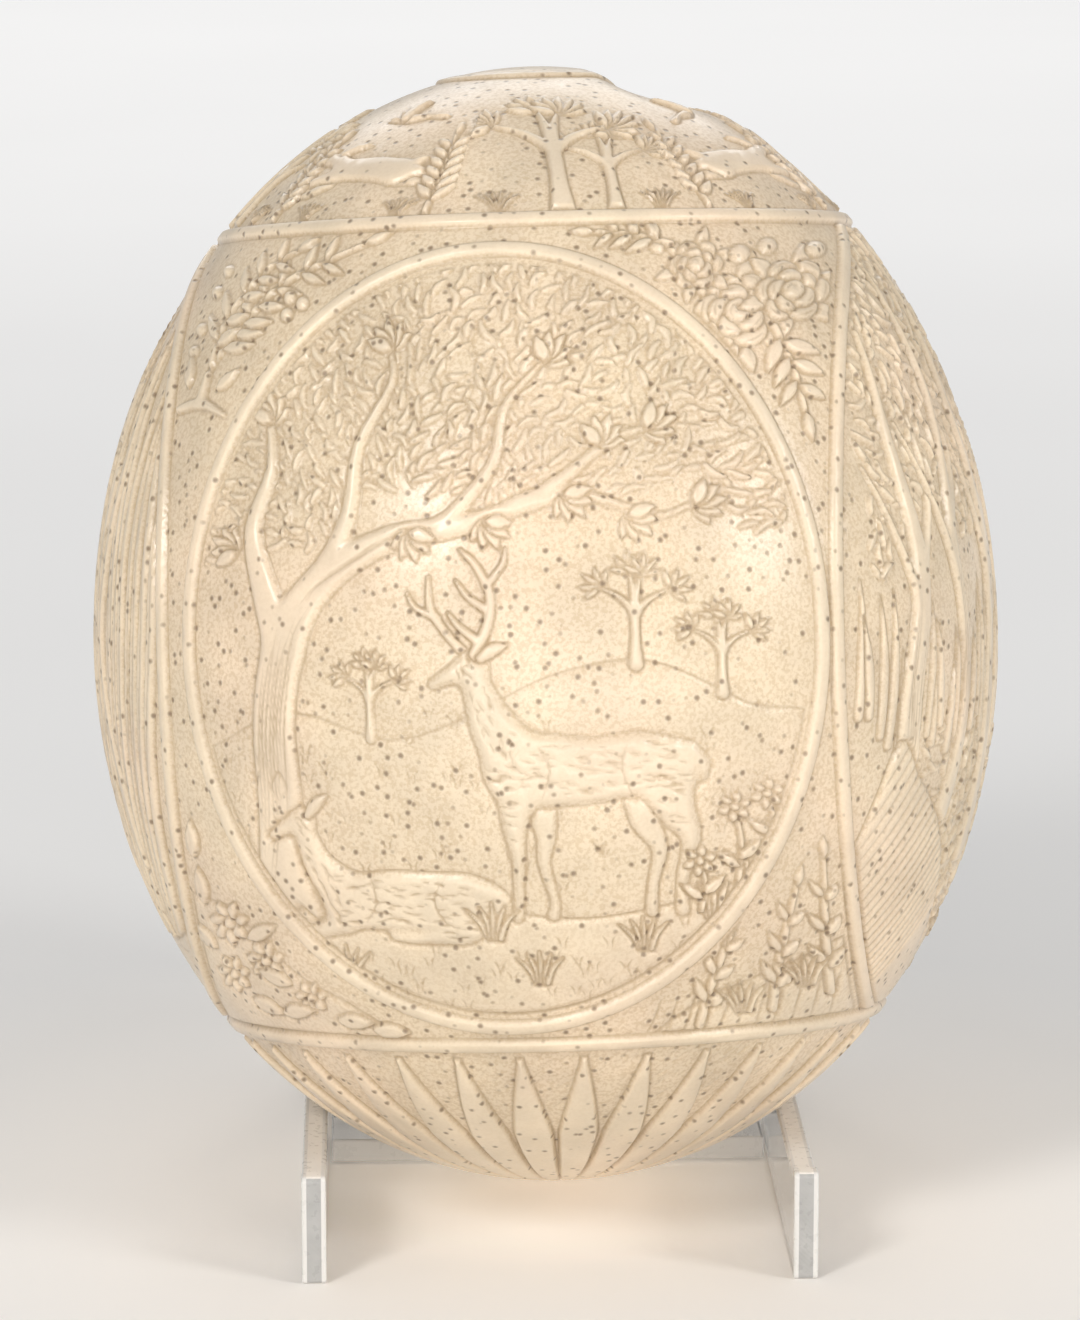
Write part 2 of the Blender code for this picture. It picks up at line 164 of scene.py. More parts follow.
class Field:
    """Heights and cut lines over a part of the surface, with flat coordinates in millimetres.

    P runs sideways and Q upwards. On a panel, P and Q are what its front view shows.
    Elsewhere P is the arc round the egg and Q the arc from a start line.
    """

    def __init__(self, middle, half_turn, low_arc, high_arc, start_arc=None):
        turn = half_turned(AZIMUTHS - middle)
        columns = np.where(np.abs(turn) <= half_turn)[0]
        self.columns = columns[np.argsort(turn[columns])]
        self.rows = np.where((ARCS >= low_arc) & (ARCS <= high_arc))[0]
        self.turn = turn[self.columns]
        self.radius = RADII[self.rows]
        if start_arc is None:
            self.across = np.sin(self.turn)
            self.q = HEIGHTS[self.rows]
        else:
            self.across = self.turn
            self.q = ARCS[self.rows] - start_arc
        self.p = self.radius[:, None] * self.across[None, :]
        self.h = np.zeros(self.p.shape)
        self.cut = np.zeros(self.p.shape)

    def window(self, low, high):
        """Slices of the field that hold a box, with their coordinates, or None outside."""
        rows = np.where((self.q >= low[1]) & (self.q <= high[1]))[0]
        if len(rows) == 0:
            return None
        radii = self.radius[rows]
        least = min(low[0] / radii.min(), low[0] / radii.max())
        most = max(high[0] / radii.min(), high[0] / radii.max())
        columns = np.where((self.across >= least) & (self.across <= most))[0]
        if len(columns) == 0:
            return None
        place = (slice(rows[0], rows[-1] + 1), slice(columns[0], columns[-1] + 1))
        p = self.p[place]
        return place, p, np.broadcast_to(self.q[place[0], None], p.shape)


# Shapes to carve: lines with a width at each point, and closed outlines


def curve(points, steps, closed=False):
    """A smooth line through given points of two or three numbers each."""
    points = np.array(points, float)
    count = len(points)
    if count < 3:
        return points
    if closed:
        runs = [(points[i - 1], points[i], points[(i + 1) % count], points[(i + 2) % count]) for i in range(count)]
    else:
        ends = np.vstack([2 * points[0] - points[1], points, 2 * points[-1] - points[-2]])
        runs = [ends[i:i + 4] for i in range(count - 1)]
    line = []
    for a, b, c, d in runs:
        for t in np.arange(steps) / steps:
            bend = (2 * a - 5 * b + 4 * c - d) * t ** 2 + (3 * b - a - 3 * c + d) * t ** 3
            line.append((2 * b + (c - a) * t + bend) / 2)
    if not closed:
        line.append(points[-1])
    return np.array(line)


def run_distance(p, q, start, end):
    """Distance from places to a straight run, and the share along it."""
    x, y = end[0] - start[0], end[1] - start[1]
    share = np.clip(((p - start[0]) * x + (q - start[1]) * y) / max(x * x + y * y, 1e-9), 0, 1)
    return np.hypot(p - start[0] - share * x, q - start[1] - share * y), share


def stroke_distance(p, q, line):
    """Signed distance from places to a line that has a half width at each point."""
    best = np.full(p.shape, 1e9)
    for start, end in zip(line, line[1:]):
        away, share = run_distance(p, q, start, end)
        best = np.minimum(best, away - start[2] - (end[2] - start[2]) * share)
    return best


def outline_distance(p, q, line):
    """Signed distance from places to a closed outline, negative inside."""
    best = np.full(p.shape, 1e9)
    inside = np.zeros(p.shape, bool)
    for start, end in zip(line, np.roll(line, -1, axis=0)):
        best = np.minimum(best, run_distance(p, q, start, end)[0])
        if start[1] != end[1]:
            level = (start[1] > q) != (end[1] > q)
            inside ^= level & (p < start[0] + (q - start[1]) / (end[1] - start[1]) * (end[0] - start[0]))
    return np.where(inside, -best, best)


class Shape:
    """Strokes and outlines that flow into one another."""

    def __init__(self, blend=0.3):
        self.blend = blend
        self.lines = []

    def stroke(self, *points, steps=4):
        """Add a line of (p, q, half width) points."""
        self.lines.append(curve(points, steps))
        return self

    def outline(self, *points, steps=5):
        """Add a smooth closed outline of (p, q) points."""
        self.lines.append(curve(points, steps, closed=True))
        return self

    def distance(self, p, q):
        """Signed distance from places to the joined shape."""
        total = None
        for line in self.lines:
            measure = stroke_distance if line.shape[1] == 3 else outline_distance
            away = measure(p, q, line)
            if total is None:
                total = away
                continue
            share = np.clip(0.5 + (away - total) / (2 * self.blend), 0, 1)
            total = away + (total - away) * share - self.blend * share * (1 - share)
        return total

    def box(self):
        """Lowest and highest corner."""
        low = np.min([(line[:, :2] - line[:, 2:].sum(axis=1, keepdims=True)).min(axis=0) for line in self.lines], axis=0)
        high = np.max([(line[:, :2] + line[:, 2:].sum(axis=1, keepdims=True)).max(axis=0) for line in self.lines], axis=0)
        return low, high

    def placed(self, p=0.0, q=0.0, scale=1.0, turn=0.0, flip=False):
        """A copy turned, scaled, perhaps mirrored, and moved."""
        copy = Shape(self.blend * scale)
        for line in self.lines:
            new = line * scale
            x = -new[:, 0] if flip else new[:, 0].copy()
            y = new[:, 1].copy()
            new[:, 0] = p + x * cos(turn) - y * sin(turn)
            new[:, 1] = q + x * sin(turn) + y * cos(turn)
            copy.lines.append(new)
        return copy


# Carving tools


def lift_edge(h, cut, away, height, slope, groove, mark=1.0):
    """Heights and cut marks after raising what lies inside a distance of nothing."""
    near = np.exp(-(np.maximum(away, 0) / 0.32) ** 2)
    floor = np.minimum(h, h * (1 - 0.75 * near) - groove * near)
    rise = np.sin(np.clip(-away / slope, 0, 1) * pi / 2)
    marks = np.maximum(cut * (away > -0.2), mark * np.exp(-((away - 0.05) / 0.28) ** 2))
    return np.where(away < 0, floor + (height - floor) * rise, floor), marks


def carve(field, shape, height=TOP, slope=0.55, groove=0.10, within=None, mark=1.0):
    """Raise a shape over what is there, with a cut line round its foot."""
    margin = 1.1
    low, high = shape.box()
    found = field.window(low - margin, high + margin)
    if found is None:
        return
    place, p, q = found
    away = shape.distance(p, q)
    if within is not None:
        away = np.maximum(away, within(p, q))
    field.h[place], field.cut[place] = lift_edge(field.h[place], field.cut[place], away, height, slope, groove, mark)


def swell(field, shape, amount, slope, within=None):
    """Round up the surface within a shape, with no edge."""
    low, high = shape.box()
    found = field.window(low, high)
    if found is None:
        return
    place, p, q = found
    share = np.clip(-shape.distance(p, q) / slope, 0, 1)
    if within is not None:
        share = share * (within(p, q) < 0)
    field.h[place] += amount * share * share * (3 - 2 * share)


def score(field, points, depth=0.22, width=0.24, steps=4, within=None):
    """Cut a fine line that fades at its ends into what is there."""
    line = curve(points, steps)
    margin = 3 * width
    found = field.window(line.min(axis=0) - margin, line.max(axis=0) + margin)
    if found is None:
        return
    place, p, q = found
    strength = np.sin(np.linspace(0.5, pi - 0.5, len(line)))
    best = np.zeros(p.shape)
    for index, (start, end) in enumerate(zip(line, line[1:])):
        away, share = run_distance(p, q, start, end)
        force = strength[index] + (strength[index + 1] - strength[index]) * share
        best = np.maximum(best, np.exp(-(away / width) ** 2) * force)
    if within is not None:
        best = best * (within(p, q) < 0)
    field.h[place] -= depth * best
    field.cut[place] = np.maximum(field.cut[place], best)


def oval_size(p, q):
    """How large the oval through a place is, next to the panel's own oval."""
    return np.hypot((p - OVAL_ASIDE) / OVAL_HALF_WIDTH, (q - OVAL_RISE) / OVAL_HALF_HEIGHT)


def within_oval(margin):
    """A test for places inside a panel's oval by a margin."""
    def away(p, q):
        return (oval_size(p, q) - 1) * OVAL_SCALE + RIDGE_FOOT + margin
    return away


def outside_oval(margin):
    """A test for places of a panel outside its oval and inside its frame, by a margin."""
    def away(p, q):
        ring = (1 - oval_size(p, q)) * OVAL_SCALE + RIDGE_FOOT + margin
        side = np.abs(p) - panel_reach(q) + RIDGE_FOOT + margin
        level = np.maximum(q - UPPER_BAND_HEIGHT, LOWER_BAND_HEIGHT - q) * 1.3 + RIDGE_FOOT + margin
        return np.maximum(np.maximum(ring, side), level)
    return away


def panel_reach(height):
    """Half the width of a panel at a height."""
    narrowing = np.where(height > 0, PANEL_UPPER_NARROWING, PANEL_LOWER_NARROWING)
    return PANEL_HALF_WIDTH - narrowing * (height / UPPER_BAND_HEIGHT) ** NARROWING_POWER


def on_arm(p, q, turn, x, y):
    """The point x along and y across from a place, for a direction."""
    return p + x * cos(turn) - y * sin(turn), q + x * sin(turn) + y * cos(turn)


# Plants


def petal(field, p, q, length, width, turn, height=0.62, vein=True, within=None):
    """A pointed leaf from its stalk end, with a vein."""
    shape = Shape(0.1)
    spine = [(0, 0.16), (0.28, 0.47), (0.6, 0.42), (1.0, 0.06)]
    points = [(*on_arm(p, q, turn, share * length, 0), half * width) for share, half in spine]
    carve(field, shape.stroke(*points, steps=2), height, 0.4, 0.08, within)
    if vein:
        score(field, [on_arm(p, q, turn, share * length, 0) for share in (0.12, 0.8)], 0.16, 0.2, 2, within)


def sprig(field, stem, pairs, length, width, spread=0.75, height=0.62, within=None):
    """A stem with leaves to both sides and one at its tip."""
    carve(field, Shape(0.1).stroke(*stem), height, 0.4, 0.08, within)
    line = curve([point[:2] for point in stem], 8)
    last = len(line) - 1
    for index in range(pairs):
        share = 0.16 + 0.8 * index / pairs
        here = line[round(share * last)]
        ahead = line[min(last, round(share * last) + 1)]
        way = atan2(ahead[1] - here[1], ahead[0] - here[0])
        size = 1 - 0.35 * share
        for side in (-1, 1):
            shift = on_arm(here[0], here[1], way, 0.6 * (side > 0), side * 0.3)
            petal(field, *shift, length * size, width * size, way + side * spread, height, True, within)
    way = atan2(line[-1][1] - line[-2][1], line[-1][0] - line[-2][0])
    petal(field, *line[-1], length * 0.8, width * 0.7, way, height, True, within)


def disc(field, p, q, radius, height=0.62, slope=None, within=None):
    """A round berry or flower middle."""
    carve(field, Shape(0.1).stroke((p, q, radius), (p + 0.01, q, radius)), height, slope or radius * 0.9, 0.08, within)


def daisy(field, p, q, radius, petals=7, within=None):
    """An open flower."""
    for index in range(petals):
        turn = 2 * pi * (index + 0.3) / petals
        start = on_arm(p, q, turn, radius * 0.25, 0)
        petal(field, *start, radius * 0.85, radius * 0.62, turn, 0.6, False, within)
    disc(field, p, q, radius * 0.3, TOP, within=within)


def rose(field, p, q, radius, within=None):
    """A full rose: a ring of outer petals, an inner ring of petals and a turned heart."""
    for ring, (count, reach, size, level) in enumerate([(6, 0.66, 0.46, 0.5), (5, 0.40, 0.36, 0.6)]):
        for index in range(count):
            turn = 2 * pi * (index + 0.5 * ring) / count
            x, y = on_arm(p, q, turn, radius * reach, 0)
            lobe = Shape(0.1).stroke((x, y, radius * size), (x + 0.01, y, radius * size))
            carve(field, lobe, level, 0.5, 0.12, within)
            lip = [on_arm(p, q, turn + bend, radius * (reach + size * 0.62), 0) for bend in (-0.4, 0, 0.4)]
            score(field, lip, 0.12, 0.22, 3, within)
    disc(field, p, q, radius * 0.34, TOP, 0.5, within)
    swirl = [on_arm(p, q, 0.9 * step, radius * (0.04 + 0.05 * step), 0) for step in range(6)]
    score(field, swirl, 0.25, 0.2, 4, within)


def tuft(field, p, q, size, blades=6, height=0.6, lean=0.0, within=None):
    """A tuft of grass."""
    for index in range(blades):
        side = index - (blades - 1) / 2
        length = size * (4.8 - 0.5 * abs(side))
        foot = p + side * 0.40 * size
        tip = foot + side * 1.30 * size + lean * length
        points = [(foot, q, 0.40 * size), ((foot * 2 + tip) / 3, q + 0.55 * length, 0.36 * size), (tip, q + length, 0.1)]
        carve(field, Shape(0.1).stroke(*points, steps=3), height, 0.35, 0.03, within)


def scatter(rng, outline, gap):
    """Random spots within an outline, at least a gap apart."""
    line = curve(outline, 5, closed=True)
    low, high = line.min(axis=0), line.max(axis=0)
    count = int((high[0] - low[0]) * (high[1] - low[1]) / gap ** 2 * 5)
    tried = np.array([(rng.uniform(low[0], high[0]), rng.uniform(low[1], high[1])) for _ in range(count)])
    tried = tried[outline_distance(tried[:, 0], tried[:, 1], line) < 0]
    kept = np.empty((0, 2))
    for spot in tried:
        if len(kept) == 0 or np.hypot(*(kept - spot).T).min() > gap:
            kept = np.vstack([kept, spot])
    return kept


def foliage(field, rng, outline, gap, size, way, levels=(0.34, 0.55), within=None):
    """Crowded short curved strokes: a crown of leaves seen from far."""
    for p, q in scatter(rng, outline, gap):
        turn = way(p, q) + rng.uniform(-0.9, 0.9)
        length = size * rng.uniform(0.8, 1.4)
        bend = rng.uniform(-0.25, 0.25) * length
        half = size * rng.uniform(0.19, 0.25)
        points = [(*on_arm(p, q, turn, -length / 2, 0), half * 0.7), (*on_arm(p, q, turn, 0, bend), half),
                  (*on_arm(p, q, turn, length / 2, 0), half * 0.5)]
        carve(field, Shape(0.1).stroke(*points, steps=2), rng.uniform(*levels), 0.4, 0.06, within, FOLIAGE_MARK)


def bark(field, rng, spine, half, count, within=None):
    """Long cuts that follow a trunk."""
    spine = np.array(spine, float)
    for index in range(count):
        side = (index + 0.5) / count * 2 - 1
        first = rng.uniform(0, 0.35)
        last = rng.uniform(0.6, 1.0)
        shares = np.linspace(first, last, 5) * (len(spine) - 1)
        points = [(np.interp(s, range(len(spine)), spine[:, 0]) + side * half * 0.8,
                   np.interp(s, range(len(spine)), spine[:, 1])) for s in shares]
        score(field, points, 0.15, 0.22, 4, within)


def small_tree(field, rng, p, q, size, lean=0.0, within=None):
    """A forked tree whose twigs end in fans of leaves."""
    top = (p + lean * 9 * size, q + 8.5 * size)
    trunk = Shape(0.5)
    trunk.stroke((p, q, 1.25 * size), (p + lean * 3 * size, q + 4 * size, 0.85 * size), (*top, 0.8 * size))
    ends = []
    for side, rise, reach in ((-1, 4.2, 5.4), (-0.35, 6.6, 2.2), (0.4, 6.2, 2.6), (1, 3.6, 5.6)):
        end = (top[0] + side * reach * size, top[1] + rise * size)
        middle = (top[0] + side * reach * 0.45 * size, top[1] + rise * 0.62 * size)
        trunk.stroke((*top, 0.7 * size), (*middle, 0.5 * size), (*end, 0.25 * size))
        ends.append((end, atan2(rise, side * reach)))
    carve(field, trunk, SIDE_TOP, 0.55, 0.1, within)
    for end, way in ends:
        fan = 3 if size > 0.9 else 2
        for index in range(-fan, fan + 1):
            turn = way + index * 1.26 / fan
            length = size * (3.6 - 0.25 * abs(index))
            width = max(0.95, 1.15 * size)
            petal(field, *on_arm(*end, turn, 0.3 * size, 0), length, width, turn, 0.52, False, within)


# Animals


def stag():
    """A standing stag that looks to the left, its hooves at nothing: body, near legs, neck and head."""
    body = Shape(1.5)
    body.stroke((-8.2, 20.5, 4.0), (-4.0, 20.4, 4.9), (2.0, 20.2, 4.4), (8.0, 21.0, 4.2), (11.2, 20.4, 4.1))
    body.stroke((-7.5, 21.5, 4.2), (-10.6, 26.5, 3.1), (-12.2, 31.0, 2.2), (-13.2, 34.0, 1.8))
    body.stroke((-12.6, 34.6, 1.8), (-15.2, 33.6, 1.4), (-18.2, 32.2, 0.85))
    body.stroke((-7.6, 19.0, 3.2), (-8.4, 13.0, 1.7), (-8.2, 8.6, 0.95), (-8.6, 3.0, 0.72), (-9.0, 0.9, 0.9))
    body.stroke((10.8, 19.6, 3.9), (12.4, 14.6, 2.5), (14.0, 10.6, 1.3), (12.7, 5.5, 0.82), (12.3, 1.0, 0.92))
    body.stroke((14.6, 22.6, 1.0), (15.9, 20.8, 1.1), (16.1, 18.9, 0.5), steps=3)
    return body


def stag_far_legs():
    """The stag's two legs on its far side."""
    legs = Shape(1.0)
    legs.stroke((-5.2, 18.0, 2.6), (-4.4, 12.0, 1.4), (-4.9, 8.0, 0.85), (-3.9, 3.0, 0.65), (-4.2, 0.9, 0.82))
    legs.stroke((8.6, 18.5, 3.2), (8.4, 13.5, 2.0), (10.0, 9.6, 1.1), (8.9, 5.0, 0.72), (8.4, 1.0, 0.85))
    return legs


def antlers():
    """The stag's near antler with three tines."""
    near = Shape(0.35)
    near.stroke((-12.6, 36.0, 0.8), (-10.9, 39.5, 0.75), (-10.4, 43.5, 0.68), (-12.3, 47.6, 0.55), (-14.3, 49.6, 0.3))
    near.stroke((-12.0, 37.6, 0.65), (-14.6, 39.6, 0.5), (-16.0, 41.4, 0.28), steps=3)
    near.stroke((-10.6, 41.6, 0.65), (-13.3, 43.4, 0.5), (-14.9, 45.6, 0.28), steps=3)
    near.stroke((-10.7, 45.0, 0.55), (-8.7, 47.6, 0.45), (-8.4, 49.6, 0.28), steps=3)
    return near


def far_antler():
    """The stag's other antler."""
    far = Shape(0.35)
    far.stroke((-13.6, 35.8, 0.7), (-16.2, 38.6, 0.6), (-18.4, 42.2, 0.55), (-18.6, 46.2, 0.3))
    far.stroke((-17.5, 40.8, 0.55), (-20.4, 42.2, 0.42), (-21.6, 44.2, 0.25), steps=3)
    return far


STAG_CUTS = [
    [(-14.2, 34.2), (-13.7, 34.6), (-13.2, 34.1)], [(-17.9, 32.8), (-17.2, 32.5)], [(-17.6, 31.6), (-16.2, 31.9)],
    [(-5.0, 24.0), (-3.4, 20.5), (-4.8, 16.2)], [(6.8, 24.4), (5.8, 20.4), (7.4, 15.8)], [(-1.0, 16.6), (3.0, 16.4)],
    [(-9.0, 24.5), (-8.0, 27.6)], [(-10.0, 23.0), (-9.6, 25.6)], [(-7.6, 22.4), (-6.6, 25.4)], [(-11.2, 28.0), (-10.0, 30.6)],
    [(-12.6, 29.6), (-11.6, 32.0)], [(-8.4, 20.4), (-7.6, 22.8)], [(1.0, 22.8), (4.2, 22.5)], [(-0.6, 20.8), (2.6, 20.5)],
    [(1.4, 18.8), (4.6, 18.6)], [(9.4, 22.4), (11.4, 20.0)], [(10.4, 17.4), (11.6, 14.8)], [(-6.8, 18.6), (-6.6, 15.2)],
]


def doe():
    """A lying doe that looks to the left, its belly at nothing."""
    body = Shape(1.4)
    body.stroke((-8.0, 4.6, 3.6), (-2.5, 5.2, 4.2), (4.0, 5.0, 4.2), (9.0, 4.6, 4.2), (11.6, 3.6, 3.2))
    body.stroke((-7.6, 5.6, 3.6), (-11.6, 9.8, 2.4), (-13.2, 14.0, 1.7), (-13.6, 16.2, 1.5))
    body.stroke((-13.4, 16.6, 1.5), (-16.0, 15.6, 1.15), (-18.2, 14.3, 0.7))
    body.stroke((-8.6, 2.0, 1.6), (-13.0, 0.6, 1.1), (-17.0, 0.5, 0.8), (-19.6, 0.9, 0.75))
    body.stroke((9.2, 4.6, 3.8), (8.6, 1.5, 2.6), (4.6, 0.2, 1.3), (0.8, -0.1, 0.85), (-1.4, 0.2, 0.75))
    body.stroke((12.8, 6.4, 0.9), (14.4, 5.2, 0.9), (14.8, 3.6, 0.4), steps=3)
    return body


DOE_CUTS = [
    [(-14.7, 16.5), (-14.2, 16.9), (-13.7, 16.4)], [(-17.7, 14.9), (-17.1, 14.6)], [(-4.2, 8.8), (-3.4, 5.2), (-5.4, 2.0)],
    [(6.6, 8.6), (4.8, 5.6), (6.2, 2.2), (9.4, 1.2)], [(-1.0, 7.5), (2.0, 7.7)], [(0.0, 5.6), (3.0, 5.5)],
    [(-1.6, 3.2), (1.6, 3.0)], [(-9.6, 8.4), (-8.4, 10.8)], [(-11.4, 11.4), (-10.4, 13.2)], [(9.6, 6.8), (11.4, 5.0)],
]


def ear(p, q, turn):
    """A deer's ear."""
    points = [(0, 0, 0.65), (1.9, 0.3, 0.95), (3.8, 0, 0.3)]
    return Shape(0.2).stroke(*[(*on_arm(p, q, turn, x, y), half) for x, y, half in points], steps=3)


def set_deer(field, shapes, cuts, p, q, scale, within):
    """Carve an animal's shapes in order, then its fine cuts."""
    for shape, height, slope in shapes:
        carve(field, shape.placed(p, q, scale), height, slope, 0.12, within)
    for cut in cuts:
        score(field, [(p + x * scale, q + y * scale) for x, y in cut], 0.2, 0.22, 3, within)


def fur(field, rng, shape, tries, way, within):
    """Short cuts all over an animal's coat."""
    low, high = shape.box()
    for _ in range(tries):
        p, q = rng.uniform(low[0], high[0]), rng.uniform(low[1], high[1])
        if shape.distance(np.array([p]), np.array([q]))[0] > -1.1:
            continue
        turn = way(p, q) + rng.uniform(-0.3, 0.3)
        length = rng.uniform(0.6, 1.0)
        score(field, [on_arm(p, q, turn, side * length, 0) for side in (-1, 0, 1)], 0.2, 0.22, 2, within)


def grass(field, rng, count, low, high, within):
    """Pairs of short upright cuts over open ground."""
    for _ in range(count):
        p, q = rng.uniform(low[0], high[0]), rng.uniform(low[1], high[1])
        tall = rng.uniform(1.2, 2.2)
        for side in (-1, 1):
            blade = [(p + 0.25 * side, q), (p + 0.4 * side, q + tall * 0.6), (p + 0.9 * side, q + tall)]
            score(field, blade, 0.15, 0.2, 2, within)


def bird(field, p, q, size, turn=0.0, flip=False, within=None):
    """A flying bird seen from the side."""
    body = Shape(0.5 * size)
    body.stroke((-4.4, -0.2, 0.3), (-2.2, 0.0, 0.9), (0.4, 0.2, 1.3), (2.6, 0.8, 0.9), (3.6, 1.2, 0.8))
    body.stroke((3.9, 1.2, 0.5), (5.0, 1.0, 0.15))
    body.stroke((-3.6, -0.1, 0.5), (-6.4, -1.0, 0.8), (-7.4, -1.4, 0.3))
    wing = Shape(0.3 * size).stroke((1.0, 0.6, 1.1), (0.2, 3.4, 1.0), (-1.8, 6.2, 0.4))
    far = Shape(0.3 * size).stroke((1.2, 0.8, 0.8), (2.6, 3.6, 0.7), (2.8, 6.0, 0.3))
    carve(field, far.placed(p, q, size, turn, flip), 0.42, 0.5, 0.08, within)
    carve(field, body.placed(p, q, size, turn, flip), 0.56, 0.7, 0.1, within)
    carve(field, wing.placed(p, q, size, turn, flip), SIDE_TOP, 0.5, 0.1, within)
    side = -1 if flip else 1
    for index in range(4):
        start = on_arm(p, q, turn, side * (0.9 - 0.5 * index) * size, (1.6 + 1.0 * index) * size)
        end = on_arm(p, q, turn, side * (-0.6 - 0.6 * index) * size, (1.0 + 1.1 * index) * size)
        score(field, [start, end], 0.14, 0.2, 2, within)


def heron(field, p, q, size, within=None):
    """A wading bird among reeds."""
    legs = Shape(0.3).stroke((0.4, 12.0, 0.6), (0.2, 6.0, 0.45), (0.8, 0.3, 0.5))
    legs.stroke((2.0, 12.4, 0.6), (3.0, 6.2, 0.45), (2.4, 0.3, 0.5))
    body = Shape(1.0)
    body.stroke((-2.4, 15.4, 2.0), (1.4, 14.2, 3.0), (5.6, 11.6, 1.9), (8.2, 9.4, 0.6))
    body.stroke((-2.2, 16.0, 1.7), (-4.4, 20.0, 1.05), (-2.2, 24.4, 0.85), (-3.4, 28.4, 0.9), (-4.6, 29.6, 1.1))
    body.stroke((-5.0, 29.6, 0.75), (-7.4, 29.2, 0.45), (-10.6, 28.4, 0.15))
    crest = Shape(0.2).stroke((-4.0, 30.2, 0.4), (-1.6, 31.0, 0.35), (1.0, 30.6, 0.12))
    for shape, height in ((legs, 0.5), (crest, 0.5), (body, SIDE_TOP)):
        carve(field, shape.placed(p, q, size), height, 0.7, 0.1, within)
    for index in range(5):
        start = (p + (-0.6 + 1.2 * index) * size, q + (16.0 - 0.7 * index) * size)
        end = (p + (1.8 + 1.3 * index) * size, q + (13.0 - 0.9 * index) * size)
        score(field, [start, ((start[0] + end[0]) / 2 - 0.3, (start[1] + end[1]) / 2 - 0.4), end], 0.16, 0.22, 3, within)


def hare(field, p, q, size, flip=False, within=None):
    """A running hare."""
    far = Shape(0.6).stroke((4.2, 2.2, 0.9), (7.0, 0.6, 0.55), (9.6, 0.8, 0.4))
    far.stroke((-4.6, 2.4, 1.2), (-8.2, 1.6, 0.6), (-10.8, 0.2, 0.45))
    near = Shape(0.9).stroke((-4.4, 3.6, 2.0), (-0.6, 4.2, 1.9), (3.4, 4.2, 1.7))
    near.stroke((3.4, 4.6, 1.4), (5.8, 6.2, 1.15), (7.6, 5.8, 0.6))
    near.stroke((4.4, 3.2, 1.0), (7.8, 2.4, 0.6), (10.4, 2.6, 0.4))
    near.stroke((-4.8, 3.2, 1.7), (-7.2, 3.4, 0.8), (-10.6, 2.6, 0.5))
    near.stroke((-6.2, 5.0, 0.6), (-7.2, 5.6, 0.5))
    ears = Shape(0.2).stroke((5.2, 7.0, 0.5), (3.6, 8.0, 0.6), (1.8, 8.4, 0.25))
    carve(field, far.placed(p, q, size, 0, flip), 0.4, 0.5, 0.08, within)
    carve(field, near.placed(p, q, size, 0, flip), SIDE_TOP, 0.8, 0.1, within)
    carve(field, ears.placed(p, q, size, 0, flip), 0.56, 0.4, 0.08, within)


# The front panel: a stag and a doe under an old tree


